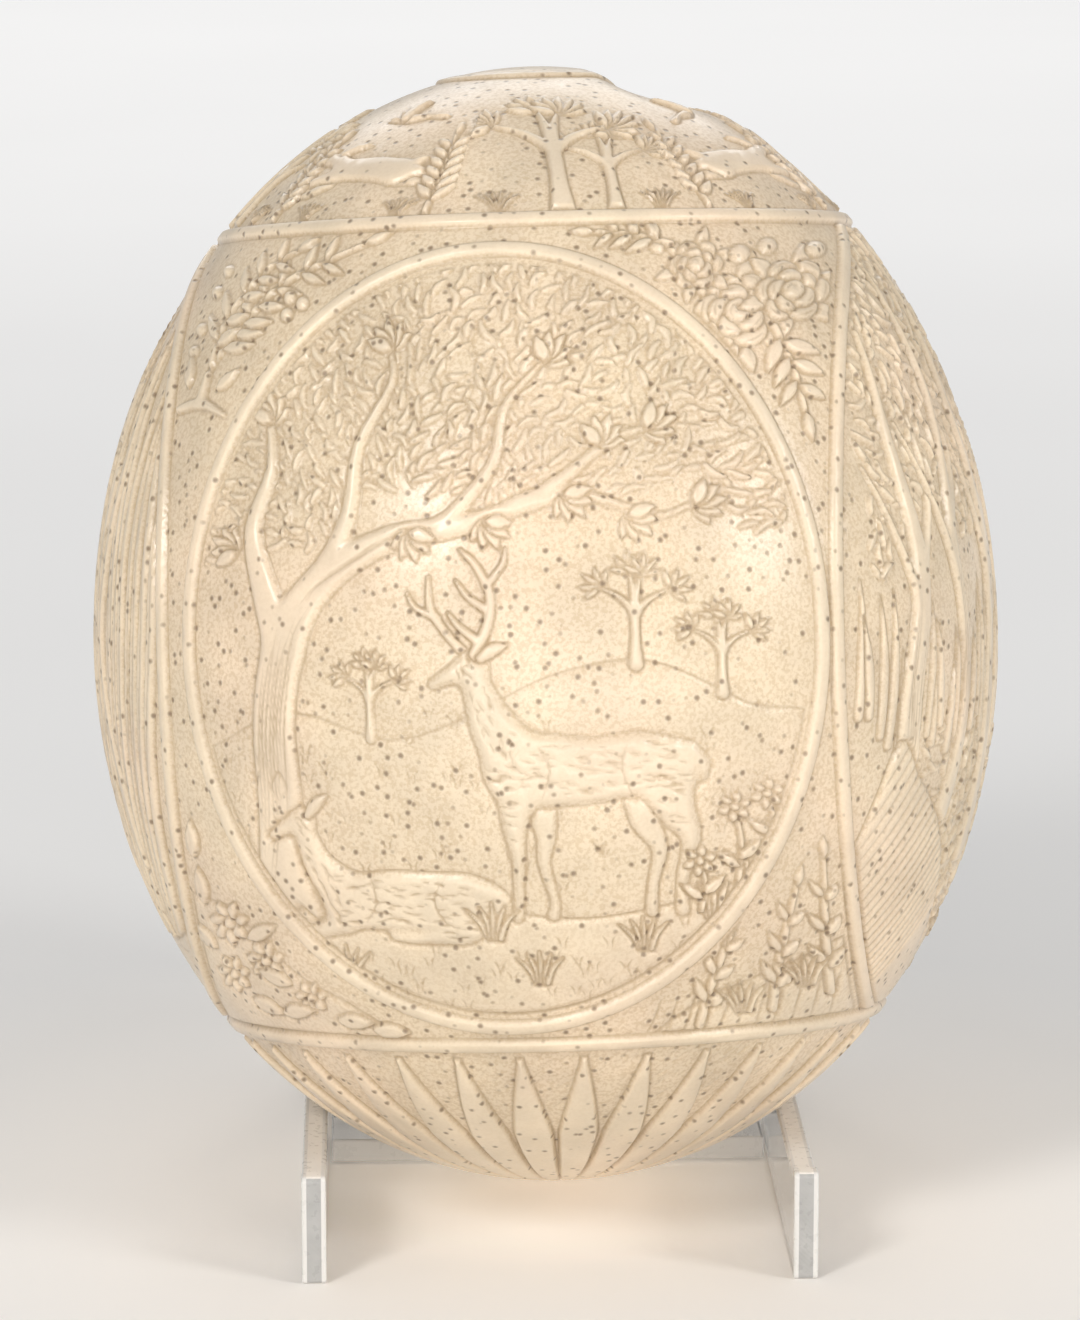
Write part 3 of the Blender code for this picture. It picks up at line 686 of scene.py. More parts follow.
def front_scene(field, rng):
    """The picture inside the front oval."""
    within = within_oval(0.6)
    hill = Shape().outline((-45, -22), (-34, -12), (-24, -9), (-12, -12.5), (-2, -10), (10, -4.5), (22, -3), (34, -9),
                           (46, -16), (46, -60), (-46, -60))
    carve(field, hill, 0.16, 1.0, 0.06, within)
    for p, q, size in ((20.5, -3.4, 0.78), (31.0, -7.6, 0.66), (-14.0, -12.2, 0.62)):
        small_tree(field, rng, p, q, size, 0.0, within)
    crown = [(-40, 8), (-33, 14), (-22, 12), (-16, 19), (-6, 20), (2, 17), (12, 20.5), (21, 18), (29, 21), (36, 13),
             (42, 20), (30, 44), (10, 54), (-12, 54), (-32, 40)]
    foliage(field, rng, crown, 1.6, 2.3, lambda p, q: atan2(q - 4, p + 10) + 0.5 * sin(p * 0.35), within=within)
    bank = Shape().outline((-46, -31), (-30, -33.5), (-16, -36), (-2, -35), (12, -36.5), (26, -34.5), (46, -30), (46, -64),
                           (-46, -64))
    carve(field, bank, 0.34, 0.9, 0.1, within)

    trunk = Shape(1.4)
    trunk.stroke((-31.5, -38.5, 2.4), (-29.0, -33.0, 3.1), (-27.6, -22.0, 3.3), (-27.8, -10.0, 3.1), (-25.6, 0.5, 3.0),
                 (-20.5, 8.0, 2.3), (-11.0, 13.4, 1.8), (0.0, 15.2, 1.35), (9.5, 19.2, 1.0), (17.0, 25.0, 0.7), (22.0, 27.0, 0.4))
    trunk.stroke((-26.0, -1.0, 2.6), (-28.6, 7.5, 2.0), (-30.2, 15.0, 1.4), (-27.6, 22.5, 1.0), (-28.0, 29.0, 0.6))
    trunk.stroke((-20.5, 8.0, 1.6), (-16.4, 17.0, 1.2), (-15.2, 25.5, 0.9), (-11.0, 33.5, 0.6), (-11.5, 38.0, 0.35))
    trunk.stroke((-4.0, 14.8, 1.1), (2.5, 22.5, 0.85), (4.0, 30.0, 0.6), (9.0, 36.0, 0.35))
    trunk.stroke((-23.5, -35.5, 0.8), (-26.6, -31.0, 2.2))
    trunk.stroke((-35.0, -36.0, 0.7), (-31.0, -32.5, 2.0))
    trunk.stroke((6.0, 17.4, 0.9), (15.0, 18.2, 0.7), (23.0, 15.5, 0.5), (28.0, 17.0, 0.4))
    carve(field, trunk, TOP, 1.1, 0.14, within)
    bark(field, rng, [(-30.0, -35.0), (-28.0, -24.0), (-27.8, -10.0), (-26.0, 0.5), (-21.5, 7.2)], 2.7, 8, within)
    bark(field, rng, [(-24.0, 4.0), (-20.5, 8.0), (-11.0, 13.4), (-2.0, 15.0)], 0.9, 3, within)
    score(field, [(-27.4, -20.5), (-26.2, -18.6), (-27.2, -16.6), (-28.4, -18.6), (-27.4, -20.5)], 0.22, 0.24, 4, within)
    for p, q, way in ((22, 27, 0.3), (28, 17, 0.1), (9, 36, 0.9), (-11.5, 38, 1.7), (-28, 29, 1.6), (16, 25, 1.2),
                      (20, 15.8, -0.8), (12, 18.6, -0.9), (2, 15.4, -1.2), (-8, 14.2, -1.4), (-33.0, 12, 2.6)):
        for index in range(5):
            turn = way + (index - 2) * 0.55
            petal(field, p, q, 4.0 - 0.35 * abs(index - 2), 1.9, turn, 0.64, True, within)

    grass(field, rng, 95, (-38, -34), (38, -10), within)
    grass(field, rng, 70, (-32, -49), (32, -37), within)
    standing = [(far_antler(), 0.46, 0.45), (stag_far_legs(), 0.48, 0.8), (stag(), TOP, 1.5), (antlers(), 0.64, 0.45),
                (ear(-11.8, 35.4, 0.45), 0.66, 0.5)]
    set_deer(field, standing, STAG_CUTS, 12.5, -36.8, 0.98, within)
    fur(field, rng, stag().placed(12.5, -36.8, 0.98), 700, lambda p, q: 2.0 if p < 4.5 and q > -15 else -0.15, within)
    lying = [(doe(), TOP, 1.5), (ear(-12.6, 17.2, 0.75), 0.66, 0.5)]
    set_deer(field, lying, DOE_CUTS, -11.5, -38.6, 0.95, within)
    fur(field, rng, doe().placed(-11.5, -38.6, 0.95), 450, lambda p, q: 2.1 if p < -20 else -0.1, within)

    for p, q, size in ((-33, -36, 0.9), (0.5, -38.8, 1.0), (28.5, -37, 1.1), (33.5, -32, 1.0), (19.5, -40.8, 0.9),
                       (-20, -44.5, 1.0), (6, -45.0, 0.9), (-37.0, -28.5, 0.9)):
        tuft(field, p, q, size, 5, within=within)
    for p, q, tall in ((31.5, -33.0, 10.5), (26.8, -36.0, 6.6), (35.5, -28.0, 7.0)):
        carve(field, Shape(0.1).stroke((p, q, 0.4), (p + 0.8, q + tall * 0.5, 0.36), (p + 0.3, q + tall, 0.3)), 0.56, 0.35,
              0.08, within)
        petal(field, p + 0.6, q + tall * 0.35, 3.4, 1.5, 0.7, 0.56, True, within)
        petal(field, p + 0.3, q + tall * 0.25, 3.2, 1.4, 2.5, 0.56, True, within)
        daisy(field, p + 0.3, q + tall, 1.9, 6, within)


def front_corners(field, rng):
    """Ornament between the front oval and its frame: crossed sprigs, roses, a flowering bank and saplings."""
    within = outside_oval(0.3)
    foot = Shape(0.6).stroke((-44.0, 30.6, 0.5), (-39.4, 31.6, 0.75), (-35.4, 30.0, 0.4))
    foot.stroke((-39.4, 31.6, 0.7), (-38.2, 36.6, 0.42))
    carve(field, foot, SIDE_TOP, 0.45, 0.12, within)
    sprig(field, [(-38.2, 36.4, 0.45), (-34.0, 41.4, 0.45), (-27.6, 47.2, 0.42), (-16.0, 52.0, 0.3)], 7, 4.9, 1.9,
          within=within)
    sprig(field, [(-38.0, 36.6, 0.42), (-36.4, 42.4, 0.42), (-31.4, 48.6, 0.38), (-26.0, 51.6, 0.28)], 5, 4.2, 1.8,
          within=within)
    for p, q, radius in ((-24.6, 44.4, 1.0), (-26.8, 43.0, 1.0), (-26.6, 45.2, 0.95), (-40.8, 41.6, 1.0), (-41.6, 38.6, 0.95),
                         (-39.0, 46.6, 0.95), (-37.6, 49.4, 0.9)):
        disc(field, p, q, radius, within=within)
    petal(field, -41.8, 34.0, 4.0, 1.7, 1.5, within=within)
    petal(field, -36.6, 33.4, 4.2, 1.7, 0.7, within=within)

    for p, q, radius in ((32.6, 41.8, 4.7), (39.0, 44.4, 3.9), (27.2, 48.0, 3.0)):
        for index in range(6):
            turn = 2 * pi * (index + 0.35) / 6
            petal(field, *on_arm(p, q, turn, radius * 0.78, 0), radius * 0.95, radius * 0.55, turn, 0.5, True, within)
        rose(field, p, q, radius, within)
    for p, q, radius in ((32.4, 49.4, 1.3), (35.6, 50.4, 1.2), (22.4, 50.6, 1.1), (41.2, 50.0, 1.2)):
        disc(field, p, q, radius, within=within)
    sprig(field, [(37.0, 39.6, 0.5), (39.4, 34.6, 0.45), (41.2, 28.0, 0.35)], 3, 4.6, 2.1, within=within)
    sprig(field, [(24.0, 50.8, 0.4), (19.0, 52.2, 0.35), (14.0, 52.6, 0.3)], 3, 3.6, 1.6, within=within)
    petal(field, 33.6, 36.6, 3.2, 2.0, -1.2, within=within)

    mound = Shape().outline((-46, -36), (-39, -35), (-34, -38.5), (-28, -44.5), (-19, -49.5), (-10, -58), (-46, -58))
    carve(field, mound, 0.3, 0.9, 0.12, within)
    for p, q, radius in ((-37.6, -37.6, 2.9), (-32.6, -42.6, 2.7), (-38.4, -45.0, 2.5), (-26.4, -47.6, 2.2)):
        daisy(field, p, q, radius, 7, within)
    for p, q, way in ((-34.6, -39.4, 0.4), (-35.6, -48.4, -0.4), (-29.4, -45.6, 2.8), (-40.8, -41.2, 2.4), (-31.0, -49.8, 0.1),
                      (-41.2, -34.8, 1.7), (-22.6, -50.4, -0.1), (-42.0, -28.4, 1.6), (-17.6, -51.6, -0.1)):
        petal(field, p, q, 4.8, 2.3, way, 0.56, True, within)

    slope = Shape().outline((16, -58), (22, -51), (30, -47), (38, -44), (46, -42), (46, -58))
    carve(field, slope, 0.3, 0.9, 0.12, within)
    for p, q, tall, lean in ((25.0, -52.0, 15.0, 6.4), (34.0, -50.5, 17.0, 4.6), (41.0, -49.0, 19.0, 1.0)):
        spine = [(p, q, 0.62), (p + lean * 0.45, q + tall * 0.5, 0.5), (p + lean, q + tall, 0.3)]
        sprig(field, spine, 3, 3.4, 1.6, 0.6, 0.58, within)
    for index in range(11):
        p = 18.0 + 2.2 * index
        score(field, [(p, -53.5), (p + 1.8, -50.4 + 0.2 * index), (p + 2.8, -48.0 + 0.25 * index)], 0.2, 0.26, 3, within)
    for p, q, size in ((30.5, -50.5, 0.9), (38.4, -47.6, 0.9)):
        tuft(field, p, q, size, 5, within=within)


# The back panel: a footed vase of garden flowers


def back_scene(field, rng):
    """The picture inside the back oval."""
    within = within_oval(0.8)
    table = Shape().outline((-46, -34), (-20, -35), (0, -35.4), (20, -35), (46, -34), (46, -64), (-46, -64))
    carve(field, table, 0.3, 0.9, 0.1, within)
    stems = [(-24, 8), (-14, 22), (-3, 32), (10, 28), (21, 17), (27, 3), (-27, -4), (2, 12), (-12, 6), (13, 8)]
    for p, q in stems:
        sprig(field, [(0.12 * p, -12.0, 0.6), (0.45 * p, -6.0 + 0.3 * (q + 6), 0.5), (p, q, 0.35)], 5, 5.4, 2.4, 0.8, 0.44,
              within)
    vase = Shape(0.8).outline((-3.2, -35), (-5.6, -33), (-2.4, -30.5), (-3.0, -28.5), (-9.4, -22.5), (-10.6, -16.0),
                              (-6.4, -11.0), (-7.6, -8.4), (7.6, -8.4), (6.4, -11.0), (10.6, -16.0), (9.4, -22.5),
                              (3.0, -28.5), (2.4, -30.5), (5.6, -33), (3.2, -35), (0, -35.2))
    carve(field, vase, TOP, 1.5, 0.14, within)
    for level, half in ((-10.9, 6.2), (-20.6, 9.6), (-29.4, 2.4)):
        score(field, [(-half, level + 0.5), (0, level), (half, level + 0.5)], 0.2, 0.24, 4, within)
    for index in range(9):
        p = (index - 4) * 2.0
        score(field, [(p, -13.0), (p * 0.95, -16.4), (p * 0.86, -19.4)], 0.14, 0.24, 3, within)
    for p, q, radius in ((0, 0, 5.6), (-12.0, 8.0, 5.0), (12.4, 9.4, 5.0), (1.0, 14.0, 5.2), (-2.0, 30.0, 4.2)):
        rose(field, p, q, radius, within)
    for p, q, radius in ((-24, 8, 4.4), (-14, 22, 4.4), (10, 27, 4.4), (21.5, 18, 4.2), (27, 3, 4.0), (-27, -5, 3.8),
                         (-7, -3.5, 3.2), (8.4, -3.0, 3.4)):
        daisy(field, p, q, radius, 9, within)
    for p, q, size in ((-28, -36, 0.9), (27, -36, 0.9)):
        daisy(field, p, q, 3.4 * size, 8, within)
        petal(field, p + 2.4, q, 5.0, 2.2, -0.3, 0.56, True, within)
        petal(field, p - 2.4, q, 5.0, 2.2, pi + 0.3, 0.56, True, within)
    for index in range(40):
        p = rng.uniform(-30, 30)
        q = rng.uniform(-47, -38)
        score(field, [(p - 2.0, q), (p + 2.0, q)], 0.11, 0.22, 2, within)


def back_corners(field):
    """Sprigs in the corners of the back panel."""
    within = outside_oval(0.5)
    for side in (-1, 1):
        for level in (-1, 1):
            stem = [(side * 40.0, level * 20.0, 0.6), (side * 36.0, level * 32.0, 0.55), (side * 29.0, level * 42.0, 0.45),
                    (side * 18.0, level * 50.5, 0.3)]
            sprig(field, stem, 8, 5.0, 2.1, within=within)
            rose(field, side * 37.0, level * 44.6, 3.6, within)
            petal(field, side * 40.2, level * 30.0, 5.4, 2.2, pi / 2, 0.56, True, within)
            for p, q in ((30.0, 49.0), (27.0, 51.2), (33.0, 50.6)):
                disc(field, side * p, level * q, 0.95, within=within)


# The two side panels


def within_side(margin):
    """A test for places of a side panel inside its frame by a margin."""
    def away(p, q):
        height = np.interp(q, ARCS, HEIGHTS)
        radius = np.interp(q, ARCS, RADII)
        edge = radius * (pi / 2 - np.arcsin(np.clip(panel_reach(height) / radius, -1, 1)))
        level = np.maximum(q - UPPER_BAND_ARC, LOWER_BAND_ARC - q)
        return np.maximum(np.abs(p) - edge, level) + RIDGE_FOOT + margin
    return away


def right_side(field, rng):
    """A wood with a plank path, to the right of the front panel."""
    within = within_side(0.2)
    crowns = [(-40, 6), (-28, 16), (-14, 12), (4, 20), (18, 12), (36, 18), (30, 50), (8, 68), (-12, 68), (-30, 48)]
    foliage(field, rng, crowns, 1.9, 2.7, lambda p, q: 1.9 + 0.6 * sin(p * 0.25 + q * 0.15), within=within)
    bushes = [(-30, -20), (-18, -12), (-4, -16), (6, -8), (20, -13), (40, -6), (38, -34), (20, -46), (2, -44), (-14, -44)]
    foliage(field, rng, bushes, 1.9, 2.7, lambda p, q: 0.7 + 0.5 * sin(p * 0.3), within=within)
    for index in range(44):
        foot = -43 + 2 * index + rng.uniform(-0.7, 0.7)
        start = rng.uniform(-18, -11)
        rise = rng.uniform(11, 22)
        lean = rng.uniform(-1.6, 1.6)
        blade = [(foot, start, 0.8), (foot + lean * 0.4, start + rise * 0.5, 0.85), (foot + lean, start + rise, 0.12)]
        carve(field, Shape(0.1).stroke(*blade, steps=3), rng.uniform(0.3, 0.5), 0.5, 0.1, within)
    for spine in ([(-31, -26, 2.6), (-33, -10, 2.4), (-30, 6, 2.0), (-31, 24, 1.3), (-27, 40, 0.6)],
                  [(-20, -26, 2.0), (-18, -8, 1.6), (-20, 12, 1.4), (-15, 32, 1.0), (-13, 50, 0.5)],
                  [(-6.0, -32, 2.6), (-7.0, -8, 2.0), (-6.0, 12, 1.8), (-7.4, 30, 1.3), (-4, 46, 0.8), (-4, 58, 0.4)],
                  [(10.6, -32, 2.4), (11.4, -6, 2.0), (10.2, 16, 1.7), (11.6, 34, 1.2), (10, 52, 0.5)],
                  [(28, -24, 2.4), (26, -2, 1.9), (29, 16, 1.5), (22, 34, 0.9), (21, 46, 0.5)]):
        trunk = Shape(1.0).stroke(*spine)
        p, q, _ = spine[2]
        trunk.stroke((p, q, 1.2), (p + 5, q + 11, 0.8), (p + 6, q + 22, 0.4))
        trunk.stroke((p, q - 6, 1.1), (p - 5, q + 7, 0.7), (p - 8, q + 15, 0.35))
        carve(field, trunk, SIDE_TOP, 1.0, 0.14, within)
        bark(field, rng, [point[:2] for point in spine[:3]], 1.7, 5, within)
    planks = Shape().outline((-36, -18), (-28, -21), (-17, -30), (-9, -40), (-4, -50), (-6, -62), (-40, -62))
    carve(field, planks, 0.42, 0.8, 0.16, within)
    for index in range(22):
        level = -84.0 + 3.0 * index
        start, end = (-40.0, level), (-4.0, level + 56.0)
        score(field, [start, (-22.0, level + 26.0), end], 0.3, 0.3, 2,
              lambda p, q: np.maximum(within(p, q), planks.distance(p, q) + 0.3))
    ground = Shape().outline((-4, -44), (10, -42), (24, -44), (30, -62), (-2, -62))
    carve(field, ground, 0.3, 0.8, 0.1, within)
    for p, q, size in ((0, -46, 1.0), (8, -47, 1.2), (16, -46, 1.0), (5, -53, 0.9), (13, -54, 0.9)):
        tuft(field, p, q, size, within=within)


def left_side(field, rng):
    """Long rushes that bend with the frame and a wading bird, to the left of the front panel."""
    within = within_side(0.2)
    for index in range(40):
        share = (index + rng.uniform(-0.3, 0.3)) / 19.5 - 1
        top = rng.uniform(30, 56) - 8 * abs(share)
        points = [(share * 17, -52, 0.8), (share * 33, -33, 1.1), (share * 44, -4, 1.2), (share * 43, 18, 0.9),
                  (share * 39 + rng.uniform(-3, 3), top, 0.12)]
        carve(field, Shape(0.1).stroke(*points), rng.uniform(0.34, 0.6), 0.6, 0.12, within)
        score(field, [point[:2] for point in points[1:4]], 0.14, 0.24, 4, within)
    for p in (9.8, 26.0):
        broad = [(p, -31, 1.1), (p + 1.2, -19.5, 1.3), (p, -9, 1.3), (p - 1.2, 1.5, 1.3), (p, 12, 1.3), (p + 1.2, 23, 1.3),
                 (p, 36, 0.7), (p - 1, 46, 0.12)]
        carve(field, Shape(0.1).stroke(*broad), SIDE_TOP, 0.8, 0.12, within)
        score(field, [point[:2] for point in broad[1:7]], 0.14, 0.24, 4, within)
    water = Shape().outline((-40, -40), (-20, -42), (0, -40), (20, -43), (40, -40), (30, -64), (-30, -64))
    carve(field, water, 0.3, 0.9, 0.12, within)
    heron(field, 6.0, -44.0, 1.25, within)
    for p, top in ((-14, 18), (-20, 8), (22, 22), (17, 34)):
        carve(field, Shape(0.1).stroke((p, -42, 0.45), (p + 1.0, top - 12, 0.4), (p + 1.4, top, 0.35)), 0.56, 0.4, 0.1, within)
        carve(field, Shape(0.1).stroke((p + 1.2, top - 6, 1.25), (p + 1.6, top + 1, 1.2)), SIDE_TOP, 0.9, 0.1, within)
    for index in range(26):
        p = rng.uniform(-26, 26)
        q = rng.uniform(-58, -44)
        score(field, [(p - 3, q), (p - 1, q + 0.5), (p + 1, q - 0.3), (p + 3, q + 0.2)], 0.14, 0.26, 3, within)
    bird(field, -9.0, 46.0, 1.0, 0.2, within=within)
    bird(field, 8.0, 54.0, 0.8, 0.1, within=within)


# The cap above the upper band, and the cup below the lower one


def within_cap(margin):
    """A test for places between the upper band and the crown ring, by a margin."""
    top = arc_at_radius(CROWN_RING_RADIUS) - UPPER_BAND_ARC

    def away(p, q):
        return np.maximum(-q, q - top) + RIDGE_FOOT + margin
    return away


def cap_scene(field, rng, number):
    """One of the eight pictures that run round the cap; Q is the way up from the band."""
    within = within_cap(0.2)
    if number % 2 == 0:
        small_tree(field, rng, 5.6, 1.0, 1.0, -0.02, within)
        small_tree(field, rng, -1.6, 1.0, 1.42, 0.0, within)
        tuft(field, -10.0, 1.8, 0.7, within=within)
        tuft(field, 12.0, 1.8, 0.7, within=within)
    else:
        hare(field, -0.5, 5.4, 1.25, number % 4 == 3, within)
        for p in (-14.0, 13.0):
            sprig(field, [(p, 1.0, 0.5), (p * 0.92, 9.0, 0.4), (p * 0.76, 17.5, 0.3)], 6, 4.0, 1.7, within=within)
        bird(field, 0.0, 22.0, 0.8, 0.25, number % 4 == 3, within)
        tuft(field, -7.0, 1.8, 0.6, within=within)
        tuft(field, 8.5, 1.8, 0.6, within=within)
    for index in range(10):
        p = -18 + 4 * index
        score(field, [(p - 1.4, 3.0), (p + 1.4, 3.2)], 0.1, 0.22, 2, within)


def carve_cup(height, cut):
    """Pointed leaves all round the cup, on a ground of short cuts."""
    pitch = 2 * pi / LEAF_COUNT
    turn = (AZIMUTHS - LEAF_PHASE + pitch / 2) % pitch - pitch / 2
    rows = HEIGHTS < LOWER_BAND_HEIGHT
    tip = np.arcsin(LEAF_TIP_HEIGHT / EGG_HALF_HEIGHT)
    widest = np.arcsin(LEAF_WIDEST_HEIGHT / EGG_HALF_HEIGHT)
    share = np.clip((tip - ANGLES[rows]) / (tip - widest), 0, 1)
    half = LEAF_FILL * pitch / 2 * RADII[rows] * share
    slant = np.gradient(half, ARCS[rows])
    across = np.abs(RADII[rows, None] * turn[None, :])
    away = (across - half[:, None]) / np.hypot(1, slant)[:, None] - EDGE_SLOPE
    end = (LEAF_END_RADIUS - RADII[rows])[:, None] - EDGE_SLOPE
    above = (ARCS[rows] - arc_at_height(LEAF_TIP_HEIGHT))[:, None] - 2 * EDGE_SLOPE
    away = np.maximum(np.maximum(away, end), above)
    height[rows], cut[rows] = lift_edge(height[rows], cut[rows], away, TOP, 0.6, 0.12)


def cup_ground(field, rng):
    """Short cuts that fill the ground between the leaves' points."""
    for _ in range(150):
        p = rng.uniform(-1, 1) * field.radius.max() * field.turn.max()
        q = rng.uniform(-13, -1)
        score(field, [(p - 0.5, q - 0.7), (p + 0.5, q + 0.7)], 0.16, 0.24, 2)


# Putting the whole surface together


def ridge(height, cut, away, half, level=TOP):
    """Raise a ridge of a half width along the line where a distance is nothing."""
    height[:], cut[:] = lift_edge(height, cut, np.abs(away) - half - EDGE_SLOPE, level, RIDGE_SLOPE, 0.12)


def panel_ridges(height, cut, middle):
    """The upright ridges and the oval of one panel."""
    between = (HEIGHTS > LOWER_BAND_HEIGHT) & (HEIGHTS < UPPER_BAND_HEIGHT)
    rows = np.where(between)[0]
    rows = np.arange(rows[0], rows[-1] + 1)
    turn = half_turned(AZIMUTHS - middle)
    radius, level = RADII[rows], HEIGHTS[rows]
    edge = np.arcsin(panel_reach(level) / radius)
    for side in (-1, 1):
        slant = radius * np.gradient(edge, ARCS[rows])
        away = radius[:, None] * half_turned(turn[None, :] - side * edge[:, None]) / np.hypot(1, slant)[:, None]
        part_h, part_c = height[rows], cut[rows]
        ridge(part_h, part_c, away, RIDGE_HALF_WIDTH)
        height[rows], cut[rows] = part_h, part_c
    p = radius[:, None] * np.sin(turn)[None, :]
    size = np.where(np.abs(turn)[None, :] < pi / 2, oval_size(p, level[:, None]), 3)
    lean_p = (p - OVAL_ASIDE) / OVAL_HALF_WIDTH ** 2
    lean_q = (level[:, None] - OVAL_RISE) / OVAL_HALF_HEIGHT ** 2
    radius_rise = (RADIUS_CHANGES / SPEEDS)[rows, None]
    height_rise = (HEIGHT_CHANGES / SPEEDS)[rows, None]
    steep = np.hypot(lean_p * np.cos(turn), lean_p * np.sin(turn) * radius_rise + lean_q * height_rise)
    away = (size - 1) * size / np.maximum(steep, 1e-5)
    part_h, part_c = height[rows], cut[rows]
    ridge(part_h, part_c, away, RIDGE_HALF_WIDTH)
    height[rows], cut[rows] = part_h, part_c


def paste(height, cut, field, wanted):
    """Copy the wanted places of a field into the whole surface."""
    rows, columns = np.nonzero(wanted)
    whole = (field.rows[rows], field.columns[columns])
    height[whole] = field.h[rows, columns]
    cut[whole] = field.cut[rows, columns]


def dent():
    """Depth of the worn hollow beside the crown, over the whole surface."""
    turn = AZIMUTHS[None, :] - DENT_AZIMUTH
    outwards = RADII[:, None] * np.cos(turn) - DENT_POLE_DISTANCE
    aside = RADII[:, None] * np.sin(turn)
    reach = np.where(outwards < 0, DENT_INNER_REACH, DENT_OUTER_REACH)
    share = np.clip(np.hypot(outwards / reach, aside / DENT_SIDE_REACH), 0, 1)
    return np.where(ANGLES[:, None] > 0, DENT_DEPTH * (0.5 + 0.5 * np.cos(pi * share)), 0)


def whole_carving():
    """Heights and cut marks of the whole egg."""
    height = np.zeros((len(ANGLES), len(AZIMUTHS)))
    cut = np.zeros(height.shape)
    panel_turn = radians(75)
    for middle, scenes, seed in ((0.0, (front_scene, front_corners), 4), (pi, (back_scene, back_corners), 9)):
        panel = Field(middle, panel_turn, LOWER_BAND_ARC, UPPER_BAND_ARC)
        rng = random.Random(seed)
        scenes[0](panel, rng)
        if scenes[1] is front_corners:
            front_corners(panel, rng)
        else:
            back_corners(panel)
        paste(height, cut, panel, np.abs(panel.p) < panel_reach(panel.q)[:, None])
    for middle, scene, seed in ((pi / 2, right_side, 12), (-pi / 2, left_side, 15)):
        side = Field(middle, radians(60), LOWER_BAND_ARC, UPPER_BAND_ARC, 0.0)
        scene(side, random.Random(seed))
        paste(height, cut, side, within_side(-RIDGE_FOOT)(side.p, np.broadcast_to(side.q[:, None], side.p.shape)) < 0)
    cap_turn = pi / 8
    for number in range(8):
        cap = Field(CAP_PHASE + 2 * cap_turn * number, cap_turn, UPPER_BAND_ARC, arc_at_radius(CROWN_RING_RADIUS),
                    UPPER_BAND_ARC)
        cap_scene(cap, random.Random(30 + number), number)
        paste(height, cut, cap, np.ones(cap.h.shape, bool))
    for number in range(8):
        cup = Field(pi / 4 * number, pi / 8, LOWER_BAND_ARC - 14, LOWER_BAND_ARC, LOWER_BAND_ARC)
        cup_ground(cup, random.Random(50 + number))
        paste(height, cut, cup, np.ones(cup.h.shape, bool))
    carve_cup(height, cut)
    for middle in (0.0, pi):
        panel_ridges(height, cut, middle)
    crown_arc = arc_at_radius(CROWN_RING_RADIUS)
    foot_arc = float(np.interp(FOOT_RING_RADIUS, RADII[ANGLES < -0.2], ARCS[ANGLES < -0.2]))
    ends = (ARCS > crown_arc) | (ARCS < foot_arc)
    height[ends] = CROWN_LEVEL
    for start, half, level in ((UPPER_BAND_ARC, RIDGE_HALF_WIDTH, TOP), (LOWER_BAND_ARC, RIDGE_HALF_WIDTH, TOP),
                               (crown_arc, SMALL_RING_HALF_WIDTH, CROWN_RING_LEVEL),
                               (foot_arc, SMALL_RING_HALF_WIDTH, CROWN_RING_LEVEL)):
        near = np.abs(ARCS - start) < 4
        away = np.broadcast_to((ARCS[near] - start)[:, None], (near.sum(), len(AZIMUTHS)))
        part_h, part_c = height[near], cut[near]
        ridge(part_h, part_c, away, half, level)
        height[near], cut[near] = part_h, part_c
    return height, cut


# From heights to a mesh


def surface_positions(azimuth, angle, lift):
    """Places of the egg in its own frame, in millimetres, lifted along the surface's normal."""
    radius, level, radius_change, height_change = profile(angle)
    speed = np.hypot(radius_change, height_change)
    radius = radius + lift * height_change / speed
    level = level - lift * radius_change / speed
    return np.stack([radius * np.sin(azimuth), -radius * np.cos(azimuth), level + 0 * radius], axis=-1)


def placed_points(points):
    """Points of the egg's own frame, in millimetres, as points of the whole object's frame."""
    turn = np.array(EGG_TURNS.to_matrix())
    return points @ turn.T * MM + np.array(EGG_MIDDLE)


def fine_mesh(lift):
    """The carved surface as a closed fine mesh."""
    rows, columns = lift.shape
    azimuth, angle = np.meshgrid(AZIMUTHS, ANGLES)
    points = surface_positions(azimuth, angle, lift).reshape(-1, 3)
    poles = [(0, 0, -EGG_HALF_HEIGHT - lift[0].mean()), (0, 0, EGG_HALF_HEIGHT + lift[-1].mean())]
    points = placed_points(np.vstack([points, poles]))
    here = np.arange(rows * columns).reshape(rows, columns)
    after = np.roll(here, -1, axis=1)
    quads = np.stack([here[:-1], after[:-1], after[1:], here[1:]], axis=-1).reshape(-1, 4)
    south, north = rows * columns, rows * columns + 1
    low = np.stack([after[0], here[0], np.full(columns, south)], axis=-1)
    high = np.stack([here[-1], after[-1], np.full(columns, north)], axis=-1)
    mesh = bpy.data.meshes.new("fine")
    mesh.vertices.add(len(points))
    mesh.vertices.foreach_set("co", points.astype(np.float32).ravel())
    corners = np.concatenate([quads.ravel(), low.ravel(), high.ravel()])
    sizes = np.concatenate([np.full(len(quads), 4), np.full(2 * columns, 3)])
    mesh.loops.add(len(corners))
    mesh.loops.foreach_set("vertex_index", corners.astype(np.int32))
    mesh.polygons.add(len(sizes))
    mesh.polygons.foreach_set("loop_start", np.concatenate([[0], np.cumsum(sizes)[:-1]]).astype(np.int32))
    mesh.update(calc_edges=True)
    return mesh


